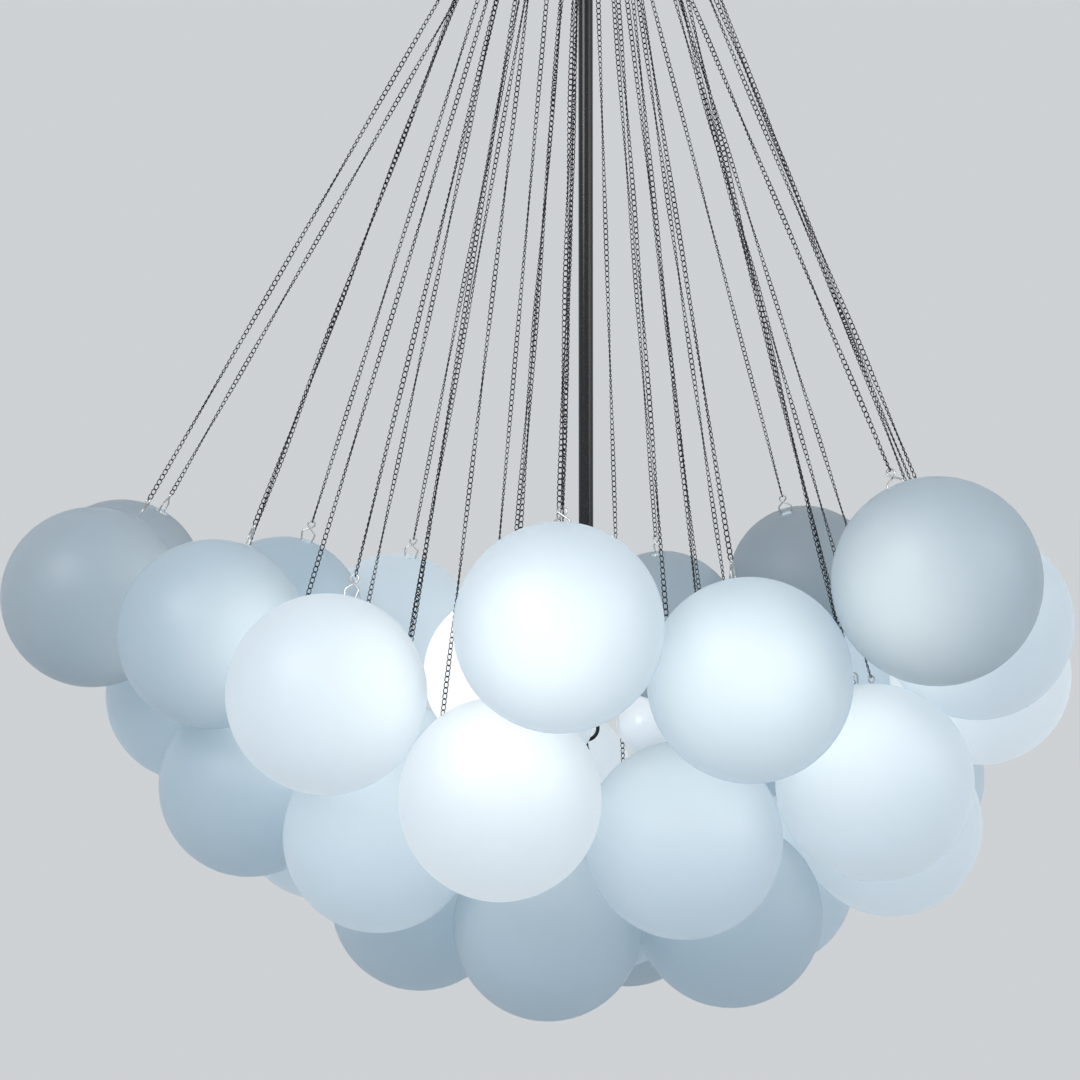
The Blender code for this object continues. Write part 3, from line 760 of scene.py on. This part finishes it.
SLEEVE = metal("black_sleeve", "black_sleeve", (0.018, 0.018, 0.019), (0.03, 0.03, 0.03),
               0.60, 0.0, 600.0, 0.2, 0.6)

# %% The clips and chains
CLIP_ROLL_DEG = {"upper_01": 12, "upper_02": 14, "upper_05": -36, "upper_09": 30,
                 "upper_10": -45, "upper_11": -30, "upper_12": -20, "upper_13": -59,
                 "upper_15": 60}
CHAIN_TWIST_DEG = (4, -6, 3, -4, 5, -5)
FLAT_LINKS = 18
RAIL_WIRE = 3 * MM
CENTRE_HOOK_WIRE = 3.2 * MM
CENTRE_HOOK_FACING = level_way(math.radians(-85))


def swing_heading(name):
    """The level way that a pendant swings in: square to its swing's axis, away from the rod."""
    centre, _, body = PENDANTS[name]
    out = np.array([centre[0], centre[1], 0])
    if body not in SWINGS:
        return out
    way = np.cross(UP, SWINGS[body]["axis"])
    return way * np.sign(way @ out)


def clip_roll(name, heading, twist):
    """How far a clip is turned about its chain.

    The upper tier's clips stand as the photograph shows them. The others are hidden, and each is
    turned by -(azimuth + links x twist), so that the chain above it lies flat to the front.
    """
    if name.startswith("upper"):
        return math.radians(CLIP_ROLL_DEG.get(name, 0))
    return -math.atan2(heading[1], heading[0]) - FLAT_LINKS * twist


def add_hangers():
    """Clips and chains, each pair on the body that its pendant swings with."""
    clip = clip_shape()
    for number, (name, (centre, hook, body)) in enumerate(PENDANTS.items()):
        nodes = [node_for(name, "hanger") if body in SWINGS else "chain_gallery"]
        wire, heading = RAIL_WIRE, swing_heading(name)
        if name == CENTRE_PENDANT:
            nodes, wire, heading = ["lamp_hub"], CENTRE_HOOK_WIRE, CENTRE_HOOK_FACING
        turn = upright(hook - centre, heading)
        twist = math.radians(CHAIN_TWIST_DEG[number % len(CHAIN_TWIST_DEG)])
        roll = clip_roll(name, heading, twist)
        chain, run = chain_for(np.linalg.norm(hook - centre), wire, roll + TURN / 4, twist)
        clip_here = carried(carried(clip, turn_about_z(roll)), turn, centre)
        chain_here = carried(chain, turn, centre)
        new_piece(f"{name}_clip", clip_here, CLIP_METAL, body, nodes, sharp_deg=80)
        new_piece(f"{name}_chain", chain_here, CHAIN_METAL, body, nodes, sharp_deg=80)
        print(f"{name}: chain {run / MM:.0f} mm long")


add_hangers()

# %% [markdown]
# ## Rails under the load plate
#
# The chains' last links hang on three wire rings, held by bars and posts under the plate. They
# could be Blender's own torus and cylinders, but the function that bends the clips' wire makes
# rings and bars as well, in the same wire.

# %% Rails
OUTER_RAIL = 97.5 * MM
MIDDLE_RAIL = 71 * MM
INNER_RAIL = 45 * MM
GALLERY_BAR_DEG = (-112, 4, 104)
PLATE_BOTTOM = -38.2 * MM
RAIL_SIDES = 12


def rail(radius):
    """A level ring of wire."""
    path = around(radius, full_turn(steps=120), RAIL_LEVEL)
    return tube(path, RAIL_WIRE / 2, RAIL_SIDES, flat=UP, closed=True)


def gallery_shape():
    """The three rails, with the bars that join them and the posts up to the plate."""
    shapes = [rail(radius) for radius in (OUTER_RAIL, MIDDLE_RAIL, INNER_RAIL)]
    level = RAIL_LEVEL * UP
    for degrees in GALLERY_BAR_DEG:
        out = level_way(math.radians(degrees))
        bar = [out * INNER_RAIL + level, out * OUTER_RAIL + level]
        post = [out * MIDDLE_RAIL + level, out * MIDDLE_RAIL + (PLATE_BOTTOM - FIT_GAP) * UP]
        shapes.append(tube(bar, RAIL_WIRE / 2, RAIL_SIDES, flat=UP))
        shapes.append(tube(post, RAIL_WIRE / 2, RAIL_SIDES, flat=(1, 0, 0)))
    return together(*shapes)


fixed_piece("chain_rails", gallery_shape(), BLACK_METAL, "chain_gallery", sharp_deg=50)

# %% [markdown]
# ## Canopy and load plate
#
# The canopy is a spun steel cover with a soft lower edge, and the load plate closes it from
# inside. Both are shapes of revolution, so a rounded profile turned about the rod gives them. A
# Boolean on a cylinder would leave hard edges, and real spun metal has none.

# %% Canopy and plate
CANOPY_RADIUS = 120 * MM
CANOPY_HEIGHT = 40 * MM
CANOPY_WALL = 1.5 * MM
PLATE_SEAT = 6 * MM
PLATE_THICKNESS = 3 * MM
PLATE_TOP = PLATE_BOTTOM + PLATE_THICKNESS
ROD_RADIUS = 6.25 * MM
ROD_BORE_RADIUS = 4 * MM
WIDE_STEPS = 128
CANOPY_ROUND = 4.5 * MM
SMALL_ROUND = 0.5 * MM


def canopy_shape():
    """Up the outside from the flange, over the rim and down the inside, with soft corners."""
    inside = CANOPY_RADIUS - CANOPY_WALL
    opening = inside - PLATE_SEAT
    low = -CANOPY_HEIGHT
    corners = [(opening, low), (CANOPY_RADIUS, low), (CANOPY_RADIUS, -FIT_GAP),
               (inside, -FIT_GAP), (inside, low + CANOPY_WALL), (opening, low + CANOPY_WALL)]
    up, down = rounded(corners[:3], CANOPY_ROUND), rounded(corners[2:], SMALL_ROUND)
    return turned(np.concatenate([up, down[1:], up[:1]]), WIDE_STEPS)


def plate_shape():
    """A disc with a bore for the rod and a small round on each edge."""
    rim = CANOPY_RADIUS - CANOPY_WALL - FIT_GAP
    return turned_ring(ROD_RADIUS + FIT_GAP, rim, PLATE_BOTTOM, PLATE_TOP, SMALL_ROUND,
                       WIDE_STEPS)


fixed_piece("canopy_cover", canopy_shape(), BLACK_METAL, "canopy")
fixed_piece("load_plate_disc", plate_shape(), BLACK_METAL, "load_plate")

# %% [markdown]
# ## Rod, nut and lead
#
# The rod is a tube with a side hole where the lead enters. The nut's corners are turned off to a
# shallow cone, as on any machined nut. A Boolean of a hexagon and a cone would do, but one formula
# on a grid gives it with even faces: the radius is the least of a six-sided wall and a cone.

# %% Rod, nut and lead
HUB_TOP = -630.7 * MM
BRACKET_THICKNESS = 3 * MM
HUB_SOCKET_DEPTH = 16 * MM
LEAD_HOLE = 7.5 * MM
LEAD_DIAMETER = 3.5 * MM
BLOCK_WIDTH = 20 * MM
BLOCK_LENGTH = 34 * MM
BLOCK_HEIGHT = 14 * MM
BLOCK_OFFSET = 55 * MM
NUT_ACROSS = 24 * MM
NUT_HEIGHT = 7 * MM
NUT_STEPS = 96
NUT_RISE = np.array([0, 0.3, 0.8, 1.6, 5.4, 6.2, 6.7, 7.0]) * MM
NUT_FACE_SHARE = 0.96
NUT_CONE_SLOPE = 1.8
LEAD_LEVEL = PLATE_TOP + FIT_GAP + BLOCK_HEIGHT / 2


def cut(shape, tool):
    """One shape cut by another with an exact Boolean, as the mesh that it makes."""
    things = [new_object(name, new_mesh(name, part))
              for name, part in (("body", shape), ("tool", tool))]
    change = things[0].modifiers.new("change", "BOOLEAN")
    change.operation = "DIFFERENCE"
    change.solver = "EXACT"
    change.object = things[1]
    graph = bpy.context.evaluated_depsgraph_get()
    made = bpy.data.meshes.new_from_object(things[0].evaluated_get(graph))
    for thing in things:
        bpy.data.objects.remove(thing)
    return made


def rod_mesh():
    """The tube with small rounds at its ends, cut by the side hole."""
    low, top = HUB_TOP - HUB_SOCKET_DEPTH + FIT_GAP, -BRACKET_THICKNESS - FIT_GAP
    wall = turned_ring(ROD_BORE_RADIUS, ROD_RADIUS, low, top, SMALL_ROUND)
    hole = [(0, 0, LEAD_LEVEL), (2 * ROD_RADIUS, 0, LEAD_LEVEL)]
    return cut(wall, tube(hole, LEAD_HOLE / 2, sides=32))


def nut_shape():
    """r = the least of w / cos a, with a from the nearest flat, and f w + s h, which is a cone.

    Here w is half the width across flats, and h is the rise from the nearer end face.
    """
    half = NUT_ACROSS / 2
    angle = np.arange(NUT_STEPS) * TURN / NUT_STEPS
    wall = half / np.cos((angle + TURN / 12) % (TURN / 6) - TURN / 12)
    cone = half * NUT_FACE_SHARE + NUT_CONE_SLOPE * np.minimum(NUT_RISE, NUT_HEIGHT - NUT_RISE)
    inner = np.full((1, NUT_STEPS), ROD_RADIUS + FIT_GAP)
    radius = np.concatenate([inner, np.minimum(wall[None], cone[:, None]), inner, inner])
    level = (PLATE_BOTTOM - FIT_GAP - NUT_HEIGHT
             + np.concatenate([[0], NUT_RISE, [NUT_HEIGHT, 0]]))
    points = around(radius, angle, level[:, None])
    return points.reshape(-1, 3), sheet_faces(len(level), NUT_STEPS)


def lead_shape():
    """From the terminal block level to the rod, round a quarter turn and down its bore."""
    bend = LEAD_HOLE - LEAD_DIAMETER / 2
    angle = np.radians(np.linspace(0, 90, 13))
    quarter = np.stack([bend * (1 - np.sin(angle)), 0 * angle,
                        LEAD_LEVEL - bend * (1 - np.cos(angle))], axis=1)
    start = [(BLOCK_OFFSET - BLOCK_WIDTH / 2 - FIT_GAP, 0, LEAD_LEVEL)]
    end = [(0, 0, HUB_TOP - HUB_SOCKET_DEPTH + FIT_GAP)]
    return tube(np.concatenate([start, quarter, end]), LEAD_DIAMETER / 2, sides=14)


# %% The rod and what it carries under the plate
fixed_piece("rod_tube", rod_mesh(), BLACK_METAL, "rod")
fixed_piece("plate_nut_hexagon", nut_shape(), STEEL, "plate_nut", sharp_deg=25)
fixed_piece("lamp_lead_sleeve", lead_shape(), SLEEVE, "lamp_lead")

# %% [markdown]
# ## Lamp hub and bulbs
#
# The lamps are hidden in the heap, and only a glimpse of them shows from below. The hub is turned
# metal with five tilted holders, and a bent wire under it carries the middle globe. The bulbs are
# opal glass, so they glow almost evenly. Plain cylinders would pass at this distance, but a turned
# profile costs no more, and has lips and grooves when the part is seen from near.

# %% The lamps' places
LAMP_TILT = math.radians(48)
HUB_HEIGHT = 44 * MM
HUB_BOTTOM = HUB_TOP - HUB_HEIGHT
HUB_MIDDLE = (HUB_TOP - HUB_HEIGHT / 2) * UP
HUB_RADIUS = 23 * MM
HOLDER_LENGTH = 34 * MM
HOLDER_DEPTH = 20 * MM
HOLDER_END = HUB_RADIUS + HOLDER_LENGTH


def lamp_frames():
    """For each lamp the matrix that stands Z out along its axis."""
    frames = []
    for azimuth in LAMP_AZIMUTHS:
        axis = math.cos(LAMP_TILT) * level_way(azimuth) - math.sin(LAMP_TILT) * UP
        across = np.cross(UP, level_way(azimuth))
        frames.append(np.stack([np.cross(across, axis), across, axis], axis=1))
    return frames


LAMP_FRAMES = lamp_frames()

# %% Hub, holders and hook
HUB_EDGE = 4 * MM
HUB_ROUND = HUB_EDGE * 1.4
HOLDER_RADIUS = 13 * MM
HOLDER_BORE_RADIUS = 7.1 * MM
HOLDER_ROUND = 0.7 * MM
GROOVE = 0.8 * MM
GROOVE_PLACES = (14 * MM, 5 * MM)
CENTRE_HOOK_WIDTH = 20 * MM


def hub_shape():
    """Up the outside, over the top and down into the rod's socket."""
    socket = ROD_RADIUS + FIT_GAP
    floor = HUB_TOP - HUB_SOCKET_DEPTH
    corners = [(0, HUB_BOTTOM), (HUB_RADIUS, HUB_BOTTOM), (HUB_RADIUS, HUB_TOP),
               (socket, HUB_TOP), (socket, floor), (0, floor)]
    outside = rounded(corners[:4], HUB_ROUND)
    return turned(np.concatenate([outside, corners[4:]]), steps=64)


def holder_shape():
    """A cup with a lip and two grooves, along Z from the hub's middle."""
    start = HUB_RADIUS / 2
    floor = HOLDER_END - HOLDER_DEPTH
    deep = HOLDER_RADIUS - GROOVE
    corners = [(0, start), (HOLDER_RADIUS, start)]
    for level in [HOLDER_END - place for place in GROOVE_PLACES]:
        corners += [(HOLDER_RADIUS, level), (deep, level + GROOVE),
                    (deep, level + 2 * GROOVE), (HOLDER_RADIUS, level + 3 * GROOVE)]
    corners += [(HOLDER_RADIUS, HOLDER_END), (HOLDER_BORE_RADIUS, HOLDER_END),
                (HOLDER_BORE_RADIUS, floor), (0, floor)]
    return turned(rounded(corners, HOLDER_ROUND, steps=4), steps=48)


def centre_hook_shape():
    """A U of wire: down, round half a circle, and up, in the plane across the way it faces."""
    hook = PENDANTS[CENTRE_PENDANT][1]
    across = np.cross(UP, CENTRE_HOOK_FACING)
    radius = CENTRE_HOOK_WIDTH / 2
    angle = np.radians(np.linspace(180, 360, 25))[:, None]
    bend = hook + across * radius * np.cos(angle) + UP * (radius + radius * np.sin(angle))
    rise = UP * (HUB_BOTTOM + HUB_EDGE - bend[0][2])
    path = np.concatenate([[bend[0] + rise], bend, [bend[-1] + rise]])
    return tube(path, CENTRE_HOOK_WIRE / 2, sides=14, flat=CENTRE_HOOK_FACING)


fixed_piece("lamp_hub_body", hub_shape(), BLACK_METAL, "lamp_hub")
fixed_piece("centre_hook_wire", centre_hook_shape(), BLACK_METAL, "lamp_hub")
for number, turn in enumerate(LAMP_FRAMES, 1):
    holder = carried(holder_shape(), turn, HUB_MIDDLE)
    fixed_piece(f"lamp_holder_{number}", holder, BLACK_METAL, "lamp_hub")

# %% Bulbs
BULB_LENGTH = 76 * MM
BULB_RADIUS = 22.5 * MM
BULB_START = HOLDER_END - HOLDER_DEPTH + FIT_GAP
BULB_MIDDLE = BULB_START + BULB_LENGTH - BULB_RADIUS
BULB_CAP_RADIUS = 6.7 * MM
BULB_NECK_RADIUS = 9 * MM
BULB_NECK_RISE = 6 * MM
BALL_ANGLES = np.radians(np.linspace(128, 0, 20))


def smoothed(points, steps):
    """A smooth line through points: each part is the cubic from a to b with slopes ta and tb.

    The slope at a point is half the step between the points before and after it.
    """
    points = np.asarray(points, float)
    ahead = np.concatenate([points[1:], points[-1:]])
    behind = np.concatenate([points[:1], points[:-1]])
    slope = (ahead - behind) / 2
    t = np.linspace(0, 1, steps, endpoint=False)[None, :, None]
    a, b = points[:-1, None], points[1:, None]
    ta, tb = slope[:-1, None], slope[1:, None]
    curve = ((2 * t**3 - 3 * t**2 + 1) * a + (t**3 - 2 * t**2 + t) * ta
             + (3 * t**2 - 2 * t**3) * b + (t**3 - t**2) * tb)
    return np.concatenate([curve.reshape(-1, points.shape[1]), points[-1:]])


def bulb_shape():
    """A cap, a neck that flares in a smooth curve, and the arc of a ball."""
    ball = arc(BULB_RADIUS, BALL_ANGLES, BULB_MIDDLE)
    mouth = HOLDER_END + FIT_GAP
    neck = smoothed([(BULB_CAP_RADIUS, mouth), (BULB_NECK_RADIUS, mouth + BULB_NECK_RISE),
                     ball[0]], steps=6)
    low = [(0, BULB_START), (BULB_CAP_RADIUS, BULB_START)]
    return turned(np.concatenate([low, neck[:-1], ball]), steps=48)


def bulb_material():
    """Opal glass lit from inside, a little uneven as the powder inside such a bulb is."""
    material, tree, shader = new_material("opal_bulb", base_color=(0.62, 0.66, 0.70),
                                          roughness=0.25, emission_strength=0.3)
    grain = placed_group(tree, GRAIN, {"Scale": 60.0, "Depth": 0.0})
    ramp = add_node(tree, "ShaderNodeValToRGB", {"Fac": grain.outputs["Mask"]})
    ramp.color_ramp.elements[0].color = (0.80, 0.90, 0.96, 1)
    ramp.color_ramp.elements[1].color = (0.96, 1.0, 1.0, 1)
    set_inputs(tree, shader, {"Emission Color": ramp.outputs["Color"]})
    return material, "lit_bulb"


OPAL = bulb_material()
for number, turn in enumerate(LAMP_FRAMES, 1):
    bulb = carried(bulb_shape(), turn, HUB_MIDDLE)
    fixed_piece(f"bulb_{number}_glass", bulb, OPAL, f"bulb_{number}")

# %% [markdown]
# ## Ceiling pieces
#
# The canopy hides the strap that is screwed to the ceiling, with its threaded boss, and the
# terminal block on the load plate. A box with a Bevel would do for the flat ones, but here each is
# an outline with round corners carried up through a few levels, drawn in a little at the first
# and last, which gives soft edges with no modifier. The round ones are turned.

# %% Strap and boss
BRACKET_LENGTH = 150 * MM
BRACKET_WIDTH = 32 * MM
SLOT_LENGTH = 18 * MM
SLOT_WIDTH = 5.5 * MM
SLOT_SPACING = 100 * MM
BOSS_RADIUS = 11 * MM
BOSS_HEIGHT = 14 * MM
CORNER_STEPS = 8
STRAP_CORNER = 5 * MM
STRAP_EDGE = 0.4 * MM
BOSS_ROUND = 0.7 * MM


def outline(length, width, radius):
    """A rectangle in X and Y with round corners, run anticlockwise."""
    corners = [(1, 1, 0), (-1, 1, 90), (-1, -1, 180), (1, -1, 270)]
    points = []
    for x, y, start in corners:
        angle = np.radians(start + np.linspace(0, 90, CORNER_STEPS))
        middle = np.array([x * (length / 2 - radius), y * (width / 2 - radius)])
        points.append(middle + radius * np.stack([np.cos(angle), np.sin(angle)], axis=1))
    return np.concatenate(points)


def slab(length, width, radius, low, high, edge=0.0):
    """An outline carried from low to high, drawn in by the edge at both ends."""
    full = outline(length, width, radius)
    drawn = outline(length - 2 * edge, width - 2 * edge, radius - edge)
    rows = [drawn * 0, drawn, full, full, drawn, drawn * 0]
    levels = [low, low, low + edge, high - edge, high, high]
    points = [np.column_stack([row, np.full(len(row), level)])
              for row, level in zip(rows, levels)]
    return np.concatenate(points), sheet_faces(len(rows), len(full))


def strap_mesh():
    """The strap, cut by its two slots, whose corners are just under half their width."""
    strap = slab(BRACKET_LENGTH, BRACKET_WIDTH, STRAP_CORNER, -BRACKET_THICKNESS, 0, STRAP_EDGE)
    slot = slab(SLOT_LENGTH, SLOT_WIDTH, SLOT_WIDTH / 2.01, -2 * BRACKET_THICKNESS,
                BRACKET_THICKNESS)
    slots = [carried(slot, shift=(side * SLOT_SPACING / 2, 0, 0)) for side in (-1, 1)]
    return cut(strap, together(*slots))


def boss_shape():
    """A turned boss with a bore and soft edges, from just inside the strap down."""
    return turned_ring(ROD_RADIUS + FIT_GAP, BOSS_RADIUS, -BOSS_HEIGHT, -BRACKET_THICKNESS / 2,
                       BOSS_ROUND)


fixed_piece("ceiling_strap", strap_mesh(), STEEL, "ceiling_bracket")
fixed_piece("ceiling_boss", boss_shape(), STEEL, "ceiling_bracket")

# %% Terminal block
DECK_SHARE = 0.62
BLOCK_CORNER = 2 * MM
TOWER_RADIUS = 4.2 * MM
WELL_RADIUS = 2.7 * MM
TOWER_SINK = 1 * MM
SCREW_SINK = 2 * MM
TOWER_ROUND = 0.4 * MM
TOWER_PLACES = [(BLOCK_OFFSET + x, y, 0) for x in (-5 * MM, 5 * MM)
                for y in (-11 * MM, 0, 11 * MM)]


def block_shapes():
    """The terminal block's base with its screw towers, and the screws in them."""
    low = PLATE_TOP + FIT_GAP
    top = low + BLOCK_HEIGHT
    deck = low + BLOCK_HEIGHT * DECK_SHARE
    head, reach = top - SCREW_SINK, WELL_RADIUS - FIT_GAP
    base = slab(BLOCK_WIDTH, BLOCK_LENGTH, BLOCK_CORNER, low, deck, SMALL_ROUND)
    tower = turned_ring(WELL_RADIUS, TOWER_RADIUS, deck - TOWER_SINK, top, TOWER_ROUND, 32)
    screw = turned(rounded([(0, deck), (reach, deck), (reach, head), (0, head)], TOWER_ROUND), 24)
    towers = [carried(tower, shift=place) for place in TOWER_PLACES]
    screws = [carried(screw, shift=place) for place in TOWER_PLACES]
    return together(carried(base, shift=(BLOCK_OFFSET, 0, 0)), *towers), together(*screws)


block_body, block_screws = block_shapes()
fixed_piece("terminal_block_body", block_body, PLASTIC, "terminal_block")
fixed_piece("terminal_block_screws", block_screws, STEEL, "terminal_block")

# %% [markdown]
# ## Light and background
#
# The photograph's room is dark, but a part for reuse is shown on a plain pale ground in soft
# light. The world gives even light and two broad lamps add a soft direction. The floor could end at
# a wall, but a disc that fades out into the background leaves no edge behind the glass.

# %% World, floor and lamps
BACKGROUND = (0.62, 0.64, 0.66)
AMBIENT = (0.95, 0.97, 1.0)
AMBIENT_STRENGTH = 0.62
FLOOR_LEVEL = -1.45
FLOOR_RADIUS = 4.0
FADE_START = 0.9
FADE_END = 2.2
LAMP_AIM = (0, 0, -0.65)


def set_world():
    """The world's even light, with the plain background where the camera or a reflection looks."""
    world = bpy.data.worlds.new("studio")
    bpy.context.scene.world = world
    world.use_nodes = True
    tree = world.node_tree
    light = tree.nodes["Background"]
    set_inputs(tree, light, {"Color": (*AMBIENT, 1), "Strength": AMBIENT_STRENGTH})
    seen = add_node(tree, "ShaderNodeBackground", {"Color": (*BACKGROUND, 1), "Strength": 1.0})
    path = add_node(tree, "ShaderNodeLightPath")
    looks = path.outputs["Is Camera Ray"]
    for ray in ("Is Glossy Ray", "Is Transmission Ray"):
        looks = combined(tree, "MAXIMUM", looks, path.outputs[ray])
    mix = add_node(tree, "ShaderNodeMixShader",
                   {0: looks, 1: light.outputs[0], 2: seen.outputs[0]})
    set_inputs(tree, tree.nodes["World Output"], {"Surface": mix.outputs[0]})


def add_floor():
    """A wide pale disc whose rim fades into the background. Seen from below, it is clear."""
    shape = turned([(FLOOR_RADIUS, 0), (0, 0)], steps=96)
    floor = new_object("floor", new_mesh("floor", carried(shape, shift=(0, 0, FLOOR_LEVEL))))
    material, tree, shader = new_material("floor_paint", base_color=(0.66, 0.68, 0.70),
                                          roughness=0.9, specular_ior_level=0.1)
    place = add_node(tree, "ShaderNodeTexCoord")
    flat = add_node(tree, "ShaderNodeVectorMath",
                    {0: place.outputs["Object"], 1: (1, 1, 0)}, operation="MULTIPLY")
    reach = add_node(tree, "ShaderNodeVectorMath", {0: flat.outputs[0]}, operation="LENGTH")
    fade = add_node(tree, "ShaderNodeMapRange",
                    {"Value": reach.outputs["Value"], "From Min": FADE_START,
                     "From Max": FADE_END}, interpolation_type="SMOOTHSTEP")
    side = add_node(tree, "ShaderNodeNewGeometry")
    gone = combined(tree, "MAXIMUM", fade.outputs[0], side.outputs["Backfacing"])
    clear = add_node(tree, "ShaderNodeBsdfTransparent")
    mix = add_node(tree, "ShaderNodeMixShader",
                   {0: gone, 1: shader.outputs[0], 2: clear.outputs[0]})
    set_inputs(tree, tree.nodes["Material Output"], {"Surface": mix.outputs[0]})
    floor.data.materials.append(material)


def add_light(name, place, size, power):
    """A broad round lamp, turned to face the globes."""
    data = bpy.data.lights.new(name, "AREA")
    data.shape = "DISK"
    data.size = size
    data.energy = power
    light = new_object(name, data)
    light.location = place
    direction = np.array(LAMP_AIM, float) - np.array(place, float)
    level = math.hypot(direction[0], direction[1])
    light.rotation_euler = (math.atan2(level, -direction[2]), 0,
                            math.atan2(direction[1], direction[0]) - math.pi / 2)


set_world()
add_floor()
add_light("key", (-1.6, -2.2, 0.9), size=1.6, power=36)
add_light("fill", (2.2, -1.2, 0.2), size=2.0, power=16)
bpy.context.scene.view_settings.view_transform = "Standard"
